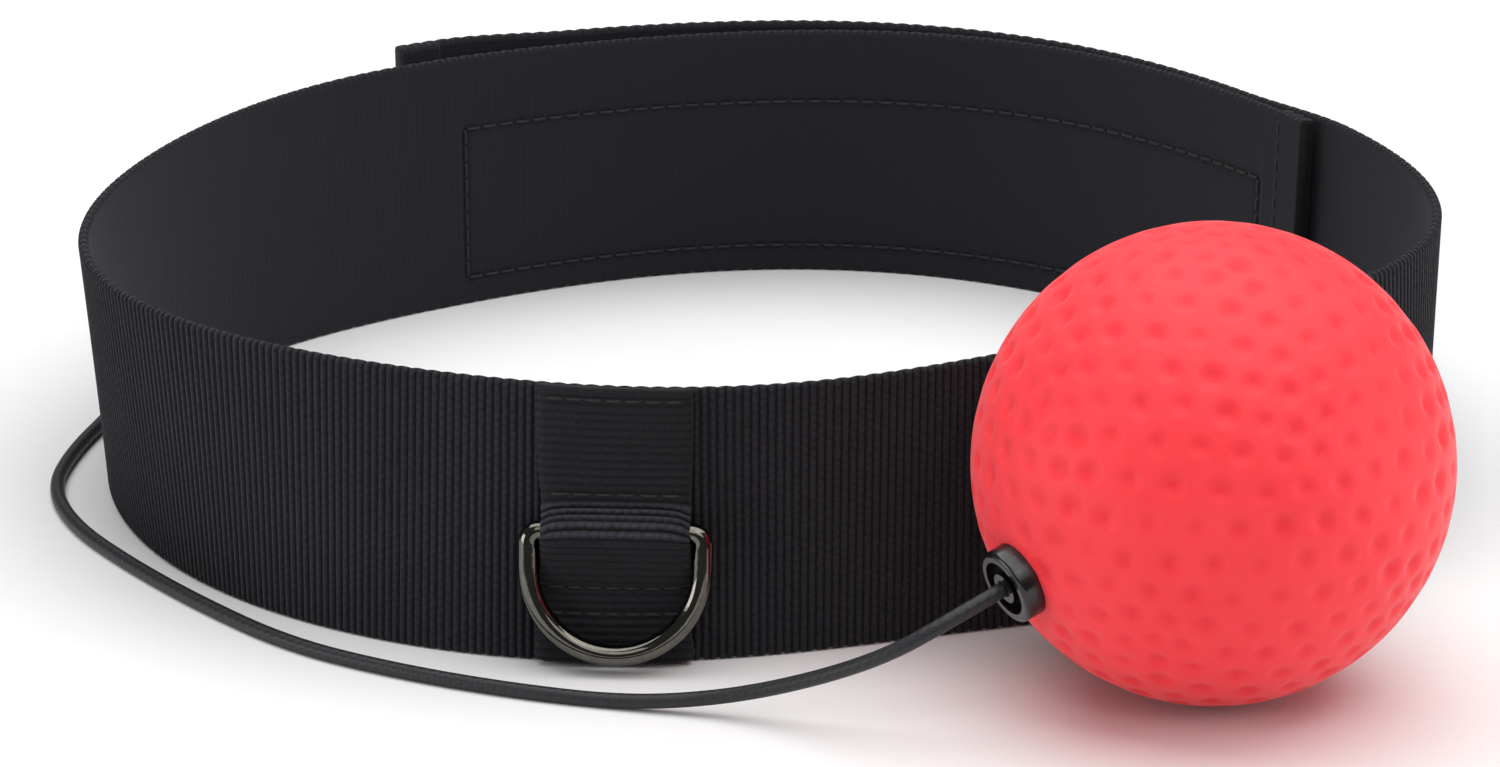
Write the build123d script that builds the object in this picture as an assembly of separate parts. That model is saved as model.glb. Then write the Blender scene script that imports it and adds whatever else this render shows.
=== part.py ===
from build123d import *
import os
from math import atan2, cos, degrees, pi, radians, sin, sqrt, tan

# Reflex ball headband, in millimetres.
# Origin: middle of the head opening, on the surface that the strap stands on.
# +Z is up, -Y is the front, where the D-ring hangs, and +X is the wearer's left.

# ---- Strap: one length of webbing, closed at the back by hook and loop tape ----
STRAP_WIDTH = 38.5
STRAP_THICKNESS = 1.5
# Distance from the origin to the middle of the webbing, every 30 degrees from +X.
RING_RADII = (93.3, 87.5, 87.5, 84.5, 81.5, 85.0, 90.0, 92.5, 88.0, 82.0, 78.0, 90.0)
INNER_END = 24.5
OUTER_END = 487.0
LAYER_STEP = 3.7
STEP_START = 325.0
STEP_END = 384.0
HEM_SPAN = 4.5
HEM_THICKNESS = 1.0
HEM_SEAM_INSET = 1.0
STATION = 5.0

# ---- Tapes and their seams ----
TAPE_LOW = 3.0
TAPE_HIGH = 28.5
TAPE_THICKNESS = 1.05
TAPE_GAP = 0.03
LOOP_TAPE_START = 30.0
LOOP_TAPE_END = 122.0
HOOK_TAPE_START = 75.0
HOOK_TAPE_END = 122.0
THREAD = 0.5
THREAD_PROUD = 0.2
SEAM_GAP = 0.02
SEAM_INSET = 1.2

# ---- Front tab and D-ring ----
TAB_ANGLE = 258.5
TAB_HEADING = -3.5
TAB_WIDTH = 20.4
TAB_NECK_WIDTH = 19.0
TAB_FOOT_WIDTH = 18.8
TAB_THICKNESS = 1.3
TAB_FOLD_TOP = 13.0
TAB_FOLD_THICKNESS = 2.2
TAB_SEAM_HEIGHTS = (7.6, 11.3, 23.9, 36.9)
RING_WIRE = 2.8
RING_HALF_WIDTH = 11.45
RING_DROP = 16.4
RING_CORNER = 1.6
BAR_HEIGHT = 19.0
BAR_CLEARANCE = 0.12
TAB_OVERLAP = 1.0

# ---- Ball and plug ----
BALL_RADIUS = 31.5
BALL_X = 60.6
BALL_Y = -93.85
PLUG_HEADING = -149.6
PLUG_DIP = 19.6
PLUG_SEAT = 31.05
FLANGE_RADIUS = 5.1
FLANGE_THICKNESS = 2.85
FLANGE_EDGE = 0.6
RECESS_RADIUS = 3.8
RECESS_DEPTH = 1.6
HUB_RADIUS = 2.1
PLUG_BORE_RADIUS = 1.2
STEM_RADIUS = 2.5
STEM_LENGTH = 12.0
BARB_RADIUS = 3.1
BARB_LENGTH = 2.0
BARB_COUNT = 4
KNOT_RADIUS = 2.5
KNOT_ROOM = 0.6

# ---- Cord ----
CORD_DIAMETER = 2.0
# From the plug, down to the surface, round the left side of the strap to the coil.
CORD_ROUTE = (
    (26.6, -113.8, 17.5),
    (18.4, -113.6, 12.4),
    (8.5, -108.2, 6.9),
    (-3.0, -103.3, 2.6),
    (-15.5, -101.0, 1.0),
    (-30.0, -96.6, 1.0),
    (-45.5, -89.4, 1.0),
    (-60.5, -79.4, 1.0),
    (-73.6, -63.4, 1.0),
    (-84.6, -47.3, 1.0),
    (-93.0, -32.4, 1.0),
    (-97.2, -17.0, 1.0),
    (-95.6, -1.5, 1.0),
    (-91.6, 14.0, 1.0),
    (-88.0, 31.0, 1.0),
    (-79.5, 50.5, 1.0),
    (-66.0, 69.0, 1.0),
    (-49.5, 83.0, 1.0),
    (-33.9, 90.9, 1.2),
)
COIL_X = -24.0
COIL_Y = 108.0
COIL_OUTER_TURN = 14.0
COIL_INNER_TURN = 7.7
COIL_LOW = 0.4
COIL_LAYERS = 2
COIL_START = -75.0
COIL_LEAVE = -60.0
TAIL_ROUTE = (
    (-9.2, 100.6, 3.3),
    (0.5, 103.8, 2.9),
)
TIE_ANGLE = 60.0
TIE_WIDTH = 4.0
TIE_THICKNESS = 0.35

# ---- Swivel snap hook: u runs along it from the cord, v across it, w up ----
HOOK_X = 29.0
HOOK_Y = 104.0
HOOK_Z = 2.9
EYE_CENTRE = -4.6
EYE_RADIUS = 3.4
EYE_WIRE = 1.6
STEM_RUNNING_GAP = 0.06
COLLAR_LENGTH = 3.2
WINDOW_END = 6.2
WINDOW_WIDTH = 4.0
SHANK_WIDTH = 6.8
SHANK_OVERLAP = 1.0
HEAD_RADIUS = 1.6
HEAD_START = 4.0
HEAD_LENGTH = 1.2
HOOK_THICKNESS = 4.6
HOOK_EDGE = 0.5
BOW_START = 7.0
BOW_LENGTH = 20.0
BOW_HALF_WIDTH = 6.2
BOW_WALL = 2.8
GATE_PIVOT_U = 9.6
GATE_PIVOT_V = 4.6
GATE_GAP_START = 10.9
GATE_GAP_END = 19.5
GATE_HALF_THICKNESS = 1.2
GATE_GAP = 0.3
TONGUE_GAP = 0.1
TONGUE_REACH = 1.3
TONGUE_ROOT = 3.0
TONGUE_DEPTH = 1.0
TONGUE_OVERLAP = 0.5
NUB_START = 3.0
NUB_END = 5.5
NUB_HEIGHT = 1.2
GATE_EYE_RADIUS = 1.4
FORK_HALF_GAP = 1.35
FORK_START = 1.8
FORK_FLOOR = 0.8
FORK_OVERLAP = 0.1
PIN_RADIUS = 0.6
PIN_RUNNING_GAP = 0.05
SPRING_ROOM_RADIUS = 1.6
SPRING_RADIUS = 1.3
SPRING_LENGTH = 0.5
SPRING_LIFT = 0.35
SPRING_BORE_GAP = 0.08
LOOP_RADIUS = 1.7
LOOP_CORD_RADIUS = 0.85
FERRULE_RADIUS = 2.7
FERRULE_LENGTH = 6.0
FERRULE_GAP = 1.0

# Where the strap's outside face is, out from the middle of the webbing.
FACE = STRAP_THICKNESS / 2
CORD_RADIUS = CORD_DIAMETER / 2
# How far a cutting shape runs past what it cuts.
OVERSHOOT = 1.0
# Distance within which an edge counts as at a height, and an angle in radians that counts as none.
SMALL = 0.01
NEARLY_ZERO = 1e-9


def blend_weight(value, samples):
    """Share of one evenly spaced sample at an angle away from it, in a smooth closed curve."""
    half = (value + pi) % (2 * pi) - pi
    if abs(half) < NEARLY_ZERO:
        return 1.0
    return sin(samples * half / 2) / tan(half / 2) / samples


def ring_radius(angle):
    """Distance from the origin to the middle of the webbing's first layer."""
    count = len(RING_RADII)
    total = 0.0
    for index, radius in enumerate(RING_RADII):
        total += radius * blend_weight(radians(angle) - 2 * pi * index / count, count)
    return total


def layer_offset(angle):
    """How far the webbing has moved out of the first layer, to lie over the tapes."""
    share = min(max((angle - STEP_START) / (STEP_END - STEP_START), 0.0), 1.0)
    return LAYER_STEP * share * share * (3 - 2 * share)


def wall_point(angle, offset):
    """Plan point at an offset out from the middle of the webbing."""
    radius = ring_radius(angle) + layer_offset(angle) + offset
    return Vector(radius * cos(radians(angle)), radius * sin(radians(angle)), 0)


def wall_slab(start, end, inside, outside, low, high):
    """Closed slab that follows the strap between two angles, two offsets and two heights."""
    steps = max(int((end - start) / STATION), 4)
    angles = [start + (end - start) * index / steps for index in range(steps + 1)]
    outer = Spline(*[wall_point(angle, outside) for angle in angles])
    inner = Spline(*[wall_point(angle, inside) for angle in reversed(angles)])
    outline = Wire([outer, Line(outer @ 1, inner @ 0), inner, Line(inner @ 1, outer @ 0)])
    return Pos(0, 0, low) * extrude(make_face(outline), high - low, dir=(0, 0, 1))


def seam_frame(start, end, inside, outside, low, high):
    """Rectangle of stitching that follows the strap."""
    inset = degrees(THREAD / ring_radius(start))
    frame = wall_slab(start, end, inside, outside, low, high)
    window = wall_slab(
        start + inset, end - inset, inside - OVERSHOOT, outside + OVERSHOOT, low + THREAD, high - THREAD,
    )
    return frame - window


def strap():
    """The webbing, with a hem folded at each end into the space between the layers."""
    web = wall_slab(INNER_END, OUTER_END, -FACE, FACE, 0, STRAP_WIDTH)
    inner_hem = wall_slab(INNER_END, INNER_END + HEM_SPAN, 0, FACE + HEM_THICKNESS, 0, STRAP_WIDTH)
    outer_hem = wall_slab(OUTER_END - HEM_SPAN, OUTER_END, -FACE - HEM_THICKNESS, 0, 0, STRAP_WIDTH)
    return web + inner_hem + outer_hem


def loop_tape():
    """Loop tape, sewn to the outside of the first layer."""
    start = FACE + TAPE_GAP
    return wall_slab(LOOP_TAPE_START, LOOP_TAPE_END, start, start + TAPE_THICKNESS, TAPE_LOW, TAPE_HIGH)


def hook_tape():
    """Hook tape, sewn to the inside of the second layer."""
    end = -FACE - TAPE_GAP
    start = HOOK_TAPE_START + 360
    return wall_slab(start, HOOK_TAPE_END + 360, end - TAPE_THICKNESS, end, TAPE_LOW, TAPE_HIGH)


def loop_tape_stitching():
    """Seam that shows on the strap's inside face."""
    inset = degrees(SEAM_INSET / ring_radius(LOOP_TAPE_START))
    return seam_frame(
        LOOP_TAPE_START + inset, LOOP_TAPE_END - inset, -FACE - THREAD_PROUD, -FACE - SEAM_GAP,
        TAPE_LOW + SEAM_INSET, TAPE_HIGH - SEAM_INSET,
    )


def hook_tape_stitching():
    """Seam that shows on the strap's outside face, at the back."""
    inset = degrees(SEAM_INSET / ring_radius(HOOK_TAPE_START))
    return seam_frame(
        HOOK_TAPE_START + 360 + inset, HOOK_TAPE_END + 360 - inset, FACE + SEAM_GAP, FACE + THREAD_PROUD,
        TAPE_LOW + SEAM_INSET, TAPE_HIGH - SEAM_INSET,
    )


def hem_stitching(angle, inside, outside):
    """One upright row of stitches across the strap."""
    span = degrees(THREAD / ring_radius(angle))
    return wall_slab(angle, angle + span, inside, outside, SEAM_INSET, STRAP_WIDTH - SEAM_INSET)


def tab_frame():
    """Frame of the tab: x along the D-ring's bar, y out of the strap, z up, on the outside face."""
    origin = wall_point(TAB_ANGLE, FACE)
    along = Vector(cos(radians(TAB_HEADING)), sin(radians(TAB_HEADING)), 0)
    upright = Vector(0, 0, 1)
    return Plane(origin=origin, x_dir=-along, z_dir=upright)


def tab_slab(width, inside, outside, low, high):
    """Block in the tab's frame."""
    block = Box(width, outside - inside, high - low, align=(Align.CENTER, Align.MIN, Align.MIN))
    return Pos(0, inside, low) * block


def bar_out():
    """Distance from the strap's outside face to the middle of the D-ring's bar."""
    return RING_WIRE / 2 + BAR_CLEARANCE


def front_tab():
    """Webbing tab: flat above, round the bar, and folded double below."""
    sleeve_inside = RING_WIRE / 2 + BAR_CLEARANCE
    sleeve_outside = sleeve_inside + TAB_THICKNESS
    bar_place = Pos(0, bar_out(), BAR_HEIGHT) * Rot(0, 90, 0)
    upper_low = BAR_HEIGHT + sleeve_inside
    upper_start = upper_low + TAB_OVERLAP
    upper = tab_slab(TAB_WIDTH, TAPE_GAP, TAPE_GAP + TAB_THICKNESS, upper_start, STRAP_WIDTH)
    neck = tab_slab(
        TAB_NECK_WIDTH, TAPE_GAP, TAPE_GAP + TAB_THICKNESS, TAB_FOLD_TOP - TAB_OVERLAP, upper_start + TAB_OVERLAP,
    )
    foot = tab_slab(TAB_FOOT_WIDTH, TAPE_GAP, TAPE_GAP + TAB_FOLD_THICKNESS, 0, TAB_FOLD_TOP)
    sleeve = bar_place * Cylinder(sleeve_outside, TAB_NECK_WIDTH)
    tunnel = bar_place * Cylinder(sleeve_inside, TAB_WIDTH * 2)
    behind = tab_slab(TAB_WIDTH * 2, -TAB_WIDTH, TAPE_GAP, -STRAP_WIDTH, STRAP_WIDTH * 2)
    # Between the bar and the strap the tab is open.
    slot = tab_slab(TAB_WIDTH * 2, -TAB_OVERLAP, bar_out(), BAR_HEIGHT - sleeve_inside, upper_low)
    return upper + neck + foot + sleeve - tunnel - behind - slot


def tab_stitching():
    """Rows of stitches across the tab, two through the fold and two above the bar."""
    rows = []
    for height in TAB_SEAM_HEIGHTS:
        folded = height < TAB_FOLD_TOP
        face = TAPE_GAP + (TAB_FOLD_THICKNESS if folded else TAB_THICKNESS)
        width = (TAB_FOOT_WIDTH if folded else TAB_WIDTH) - 2 * SEAM_INSET
        rows.append(tab_slab(width, face, face + THREAD_PROUD, height - THREAD / 2, height + THREAD / 2))
    return Compound(rows)


def ring_tilt():
    """Lean of the hanging D-ring, whose arc lies on the tab's fold where it comes in over it."""
    arc_out = TAPE_GAP + TAB_FOLD_THICKNESS + THREAD_PROUD + BAR_CLEARANCE + RING_WIRE / 2
    leg = RING_DROP - RING_HALF_WIDTH
    arc_drop = leg + sqrt(RING_HALF_WIDTH ** 2 - (TAB_FOOT_WIDTH / 2) ** 2)
    return degrees(atan2(arc_out - bar_out(), arc_drop))


def d_ring():
    """Welded ring of round wire: straight bar, two legs and a half circle."""
    half = RING_HALF_WIDTH
    leg_end = -(RING_DROP - half)
    corner = RING_CORNER
    turn = corner * (1 - sqrt(0.5))
    path = Wire([
        Line((-half + corner, 0, 0), (half - corner, 0, 0)),
        ThreePointArc((half - corner, 0, 0), (half - turn, 0, -turn), (half, 0, -corner)),
        Line((half, 0, -corner), (half, 0, leg_end)),
        ThreePointArc((half, 0, leg_end), (0, 0, -RING_DROP), (-half, 0, leg_end)),
        Line((-half, 0, leg_end), (-half, 0, -corner)),
        ThreePointArc((-half, 0, -corner), (-half + turn, 0, -turn), (-half + corner, 0, 0)),
    ])
    section = Plane(origin=path @ 0, z_dir=(1, 0, 0)) * Circle(RING_WIRE / 2)
    ring = sweep(section, path)
    return Pos(0, bar_out(), BAR_HEIGHT) * Rot(ring_tilt(), 0, 0) * ring


def plug_frame():
    """Frame at the ball's middle, with z out along the plug and the cord."""
    heading = radians(PLUG_HEADING)
    dip = radians(PLUG_DIP)
    out = Vector(cos(dip) * cos(heading), cos(dip) * sin(heading), -sin(dip))
    return Plane(origin=(BALL_X, BALL_Y, BALL_RADIUS), z_dir=out)


def raised(shape, height):
    """A shape moved along its own z."""
    return Pos(0, 0, height) * shape


UP = (Align.CENTER, Align.CENTER, Align.MIN)
DOWN = (Align.CENTER, Align.CENTER, Align.MAX)


def plug_outside():
    """The plug as a full solid: flange, stem and barbs."""
    flange = raised(Cylinder(FLANGE_RADIUS, FLANGE_THICKNESS, align=UP), PLUG_SEAT)
    flange = fillet(flange.edges().sort_by(Axis.Z)[-1], FLANGE_EDGE)
    plug = flange + raised(Cylinder(STEM_RADIUS, STEM_LENGTH, align=DOWN), PLUG_SEAT)
    pitch = (STEM_LENGTH - BARB_LENGTH) / BARB_COUNT
    for index in range(BARB_COUNT):
        barb = Cone(STEM_RADIUS, BARB_RADIUS, BARB_LENGTH, align=DOWN)
        plug += raised(barb, PLUG_SEAT - BARB_LENGTH - index * pitch)
    return plug


def ball_plug():
    """Flanged plug with a ring recess round the hub that the cord comes through."""
    face = PLUG_SEAT + FLANGE_THICKNESS
    recess = Cylinder(RECESS_RADIUS, RECESS_DEPTH, align=DOWN) - Cylinder(HUB_RADIUS, RECESS_DEPTH, align=DOWN)
    bore_length = STEM_LENGTH + FLANGE_THICKNESS + 2 * OVERSHOOT
    bore = Cylinder(PLUG_BORE_RADIUS, bore_length, align=DOWN)
    return plug_outside() - raised(recess, face) - raised(bore, face + OVERSHOOT)


def knot_height():
    """Middle of the stopper knot, in behind the plug's stem."""
    return PLUG_SEAT - STEM_LENGTH - KNOT_RADIUS - KNOT_ROOM / 2


def ball():
    """Foam ball with a flat seat and a bore for the plug, and room for the knot."""
    seat = raised(Cylinder(FLANGE_RADIUS + 1, FLANGE_THICKNESS + 1, align=UP), PLUG_SEAT)
    room = raised(Sphere(KNOT_RADIUS + KNOT_ROOM), knot_height())
    return Sphere(BALL_RADIUS) - seat - plug_outside() - room


def cord_knot():
    """The cord inside the plug, and the stopper knot behind it."""
    length = PLUG_SEAT + FLANGE_THICKNESS - knot_height()
    inner = raised(Cylinder(CORD_RADIUS, length, align=UP), knot_height())
    return inner + raised(Sphere(KNOT_RADIUS), knot_height())


def cord_exit():
    """Where the cord leaves the plug's hub."""
    return plug_frame().from_local_coords(Vector(0, 0, PLUG_SEAT + FLANGE_THICKNESS))


def coil_point(angle, height):
    """Point on the coil's outer turn."""
    turn = COIL_OUTER_TURN
    return Vector(COIL_X + turn * cos(radians(angle)), COIL_Y + turn * sin(radians(angle)), height)


def corner_radii(points):
    """The largest arc for each corner of a route, which each pair of runs leaves room for."""
    radii = []
    for before, here, after in zip(points, points[1:], points[2:]):
        turn = radians((here - before).get_angle(after - here))
        shorter = min((here - before).length, (after - here).length)
        radii.append(0.45 * shorter / tan(turn / 2))
    return radii


def cord_tube(name, points):
    """Round tube along straight runs joined by tangent arcs."""
    points = [Vector(*point) for point in points]
    radii = corner_radii(points)
    path = FilletPolyline(*points, radius=radii)
    section = Plane(origin=path @ 0, z_dir=path % 0) * Circle(CORD_RADIUS)
    tube = sweep(section, path)
    expected = pi * CORD_RADIUS ** 2 * path.length
    print(name, "length", round(path.length, 1), "radii", [round(radius) for radius in radii])
    print(name, "volume over section times length", round(tube.volume / expected, 4))
    return tube


def cord():
    """The free cord from the plug to the coil."""
    first_layer = COIL_LOW + CORD_RADIUS
    return cord_tube("cord", (cord_exit(), *CORD_ROUTE, coil_point(COIL_START, first_layer)))


def ferrule_start():
    """Where the tail goes into the ferrule, in the hook's frame."""
    return EYE_CENTRE - EYE_RADIUS - LOOP_RADIUS - FERRULE_LENGTH - FERRULE_GAP


def cord_tail():
    """The short end of the cord, from the coil's top layer to the ferrule."""
    top_layer = COIL_LOW + CORD_RADIUS + CORD_DIAMETER * (COIL_LAYERS - 1)
    end = (HOOK_X + ferrule_start(), HOOK_Y, HOOK_Z)
    return cord_tube("cord_tail", (coil_point(COIL_LEAVE, top_layer), *TAIL_ROUTE, end))


def coil_height():
    """Height of the stacked turns."""
    return CORD_DIAMETER * COIL_LAYERS


def cord_coil():
    """Outer shape of the wound cord."""
    outside = COIL_OUTER_TURN + CORD_RADIUS
    inside = COIL_INNER_TURN - CORD_RADIUS
    ring = Cylinder(outside, coil_height(), align=UP) - Cylinder(inside, coil_height(), align=UP)
    return Pos(COIL_X, COIL_Y, COIL_LOW) * ring


def coil_tie():
    """Flat tie wrapped once round the turns."""
    outside = COIL_OUTER_TURN + CORD_RADIUS + TIE_THICKNESS
    inside = COIL_INNER_TURN - CORD_RADIUS - TIE_THICKNESS
    low = COIL_LOW - TIE_THICKNESS
    height = coil_height() + 2 * TIE_THICKNESS
    shell = Cylinder(outside, height, align=UP) - Cylinder(inside, height, align=UP)
    core = Cylinder(outside - TIE_THICKNESS, coil_height(), align=UP)
    core -= Cylinder(inside + TIE_THICKNESS, coil_height(), align=UP)
    band = raised(shell, low) - raised(core, COIL_LOW)
    keep = Pos(COIL_OUTER_TURN - (outside - inside) / 2, 0, 0) * Box(outside, TIE_WIDTH, 3 * height)
    return Pos(COIL_X, COIL_Y, 0) * Rot(0, 0, TIE_ANGLE) * (band & keep)


def hook_frame():
    """Frame of the snap hook: x is u, y is v and z is w."""
    return Plane(origin=(HOOK_X, HOOK_Y, HOOK_Z), x_dir=(1, 0, 0), z_dir=(0, 0, 1))


def along_u(radius, start, end):
    """Round bar on the hook's swivel axis."""
    return Pos(start, 0, 0) * Rot(0, 90, 0) * Cylinder(radius, end - start, align=UP)


def block(u_low, u_high, v_low, v_high, half_height):
    """Block in the hook's frame."""
    box = Box(u_high - u_low, v_high - v_low, 2 * half_height, align=(Align.MIN, Align.MIN, Align.CENTER))
    return Pos(u_low, v_low, 0) * box


def bow(start, length, half_width, half_height):
    """Upright slab with two round ends."""
    straight = length - 2 * half_width
    slab = block(start + half_width, start + half_width + straight, -half_width, half_width, half_height)
    for u in (start + half_width, start + half_width + straight):
        slab += Pos(u, 0, 0) * Cylinder(half_width, 2 * half_height)
    return slab


def hook_eye():
    """Swivel eye: ring, stem and the head that holds it in the shank."""
    ring = Pos(EYE_CENTRE, 0, 0) * Torus(EYE_RADIUS, EYE_WIRE / 2)
    stem = along_u(EYE_WIRE / 2, EYE_CENTRE + EYE_RADIUS, HEAD_START + HEAD_LENGTH)
    head = along_u(HEAD_RADIUS, HEAD_START, HEAD_START + HEAD_LENGTH)
    return ring + stem + head


def hook_body():
    """Die-cast hook: collar, shank with a window for the swivel's head, and the bow."""
    half = HOOK_THICKNESS / 2
    shank_start = COLLAR_LENGTH - SHANK_OVERLAP
    shank_end = BOW_START + BOW_WALL
    shank = block(shank_start, shank_end, -SHANK_WIDTH / 2, SHANK_WIDTH / 2, half)
    outside = bow(BOW_START, BOW_LENGTH, BOW_HALF_WIDTH, half)
    rim = outside.edges().filter_by_position(Axis.Z, half - SMALL, half + SMALL)
    rim += outside.edges().filter_by_position(Axis.Z, -half - SMALL, -half + SMALL)
    outside = fillet(rim, HOOK_EDGE)
    cut = half + OVERSHOOT
    inside = bow(BOW_START + BOW_WALL, BOW_LENGTH - 2 * BOW_WALL, BOW_HALF_WIDTH - BOW_WALL, cut)
    # The collar rests on the surface that the hook lies on.
    collar = along_u(HOOK_Z, 0, COLLAR_LENGTH)
    body = shank + outside + collar - inside
    body -= block(COLLAR_LENGTH, WINDOW_END, -WINDOW_WIDTH / 2, WINDOW_WIDTH / 2, cut)
    body -= along_u(EYE_WIRE / 2 + STEM_RUNNING_GAP, -OVERSHOOT, COLLAR_LENGTH + OVERSHOOT)
    body -= block(GATE_GAP_START, GATE_GAP_END, 0, BOW_HALF_WIDTH + OVERSHOOT, cut)
    fork_low = BOW_HALF_WIDTH - BOW_WALL - FORK_FLOOR
    fork_start = GATE_PIVOT_U - FORK_START
    fork_end = GATE_GAP_START + FORK_OVERLAP
    body -= block(fork_start, fork_end, fork_low, BOW_HALF_WIDTH + OVERSHOOT, FORK_HALF_GAP)
    body -= Pos(GATE_PIVOT_U, GATE_PIVOT_V, 0) * Cylinder(PIN_RADIUS, HOOK_THICKNESS + 2 * OVERSHOOT)
    return body


def hook_gate():
    """Gate lever, with a thumb nub and a tongue that stops inside the hook's nose."""
    half = GATE_HALF_THICKNESS
    pivot = Pos(GATE_PIVOT_U, GATE_PIVOT_V, 0)
    face = BOW_HALF_WIDTH - BOW_WALL - TONGUE_GAP
    lever_end = GATE_GAP_END - GATE_GAP
    lever = block(GATE_PIVOT_U, lever_end, face + TONGUE_GAP, BOW_HALF_WIDTH - GATE_GAP, half)
    tongue_start = GATE_GAP_END - TONGUE_ROOT
    tongue = block(tongue_start, GATE_GAP_END + TONGUE_REACH, face - TONGUE_DEPTH, face, half)
    root = block(tongue_start, lever_end, face - TONGUE_DEPTH, face + TONGUE_OVERLAP, half)
    nub_low = BOW_HALF_WIDTH - TONGUE_DEPTH
    nub_high = BOW_HALF_WIDTH + NUB_HEIGHT
    nub = block(GATE_PIVOT_U + NUB_START, GATE_PIVOT_U + NUB_END, nub_low, nub_high, half)
    gate = lever + tongue + root + nub + pivot * Cylinder(GATE_EYE_RADIUS, 2 * half)
    gate -= pivot * Cylinder(PIN_RADIUS + PIN_RUNNING_GAP, 4 * half)
    spring_room = Cylinder(SPRING_ROOM_RADIUS, half, align=UP)
    return gate - Pos(GATE_PIVOT_U, GATE_PIVOT_V, half / 2) * spring_room


def gate_pin():
    """Pin that the gate turns on, riveted in the fork."""
    return Pos(GATE_PIVOT_U, GATE_PIVOT_V, 0) * Cylinder(PIN_RADIUS, HOOK_THICKNESS)


def gate_spring():
    """Closed outer shape of the gate's small torsion spring."""
    turns = Cylinder(SPRING_RADIUS, SPRING_LENGTH) - Cylinder(PIN_RADIUS + SPRING_BORE_GAP, SPRING_LENGTH)
    return Pos(GATE_PIVOT_U, GATE_PIVOT_V, GATE_HALF_THICKNESS / 2 + SPRING_LIFT) * turns


def cord_ferrule():
    """Crimped tube that closes the cord's end loop."""
    return along_u(FERRULE_RADIUS, ferrule_start(), ferrule_start() + FERRULE_LENGTH)


def cord_end_loop():
    """Loop of cord from the ferrule round the eye's wire."""
    centre = EYE_CENTRE - EYE_RADIUS
    back = ferrule_start() + FERRULE_LENGTH
    path = Wire([
        Line((back, 0, LOOP_RADIUS), (centre, 0, LOOP_RADIUS)),
        ThreePointArc((centre, 0, LOOP_RADIUS), (centre + LOOP_RADIUS, 0, 0), (centre, 0, -LOOP_RADIUS)),
        Line((centre, 0, -LOOP_RADIUS), (back, 0, -LOOP_RADIUS)),
    ])
    section = Plane(origin=path @ 0, z_dir=path % 0) * Circle(LOOP_CORD_RADIUS)
    return sweep(section, path)


def write(name, shape):
    """One STEP file for each named piece."""
    export_step(shape, os.path.join("parts", name + ".step"))


def main():
    os.makedirs("parts", exist_ok=True)

    write("strap", strap())
    write("loop_tape", loop_tape())
    write("hook_tape", hook_tape())
    write("loop_tape_stitching", loop_tape_stitching())
    write("hook_tape_stitching", hook_tape_stitching())
    inner_row = hem_stitching(INNER_END + HEM_SPAN - HEM_SEAM_INSET, -FACE - THREAD_PROUD, -FACE - SEAM_GAP)
    outer_row = hem_stitching(OUTER_END - HEM_SPAN + HEM_SEAM_INSET, FACE + SEAM_GAP, FACE + THREAD_PROUD)
    write("inner_hem_stitching", inner_row)
    write("outer_hem_stitching", outer_row)

    tab = tab_frame().location
    write("front_tab", tab * front_tab())
    write("tab_stitching", tab * tab_stitching())
    write("d_ring", tab * d_ring())

    plug = plug_frame().location
    write("ball", plug * ball())
    write("ball_plug", plug * ball_plug())
    write("cord_knot", plug * cord_knot())

    write("cord", cord())
    write("cord_coil", cord_coil())
    write("coil_tie", coil_tie())
    write("cord_tail", cord_tail())

    hook = hook_frame().location
    write("cord_ferrule", hook * cord_ferrule())
    write("cord_end_loop", hook * cord_end_loop())
    write("hook_eye", hook * hook_eye())
    write("hook_body", hook * hook_body())
    write("hook_gate", hook * hook_gate())
    write("gate_pin", hook * gate_pin())
    write("gate_spring", hook * gate_spring())


if __name__ == "__main__":
    main()
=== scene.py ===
from math import atan2, cos, degrees, pi, radians, sin, sqrt, tan

import bmesh
import bpy
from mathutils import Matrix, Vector, kdtree, noise


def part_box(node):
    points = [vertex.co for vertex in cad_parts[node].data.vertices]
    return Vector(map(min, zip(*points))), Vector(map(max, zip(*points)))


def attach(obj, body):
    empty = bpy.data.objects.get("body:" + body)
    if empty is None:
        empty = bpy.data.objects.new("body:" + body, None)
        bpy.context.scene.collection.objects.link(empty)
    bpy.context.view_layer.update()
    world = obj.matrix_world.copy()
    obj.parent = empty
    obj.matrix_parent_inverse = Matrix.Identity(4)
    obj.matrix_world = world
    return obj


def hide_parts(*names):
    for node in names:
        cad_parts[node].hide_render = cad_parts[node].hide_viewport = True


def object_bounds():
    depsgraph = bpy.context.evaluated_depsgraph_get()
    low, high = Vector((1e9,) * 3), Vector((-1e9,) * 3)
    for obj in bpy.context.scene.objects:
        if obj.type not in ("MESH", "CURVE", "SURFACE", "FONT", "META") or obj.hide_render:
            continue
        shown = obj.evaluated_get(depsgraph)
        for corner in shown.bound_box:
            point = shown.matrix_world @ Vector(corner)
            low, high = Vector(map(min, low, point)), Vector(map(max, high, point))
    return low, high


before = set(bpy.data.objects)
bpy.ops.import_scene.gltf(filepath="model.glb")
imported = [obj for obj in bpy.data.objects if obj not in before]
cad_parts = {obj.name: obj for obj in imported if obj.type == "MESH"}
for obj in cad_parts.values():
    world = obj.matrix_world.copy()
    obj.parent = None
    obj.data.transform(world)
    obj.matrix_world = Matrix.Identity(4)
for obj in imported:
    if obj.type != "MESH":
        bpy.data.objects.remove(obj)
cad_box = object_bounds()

# Reflex ball headband, in metres, in the frame of the CAD part:
# +Z is up, -Y is the front, where the D-ring hangs, and +X is the wearer's left.

UP = Vector((0, 0, 1))

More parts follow.
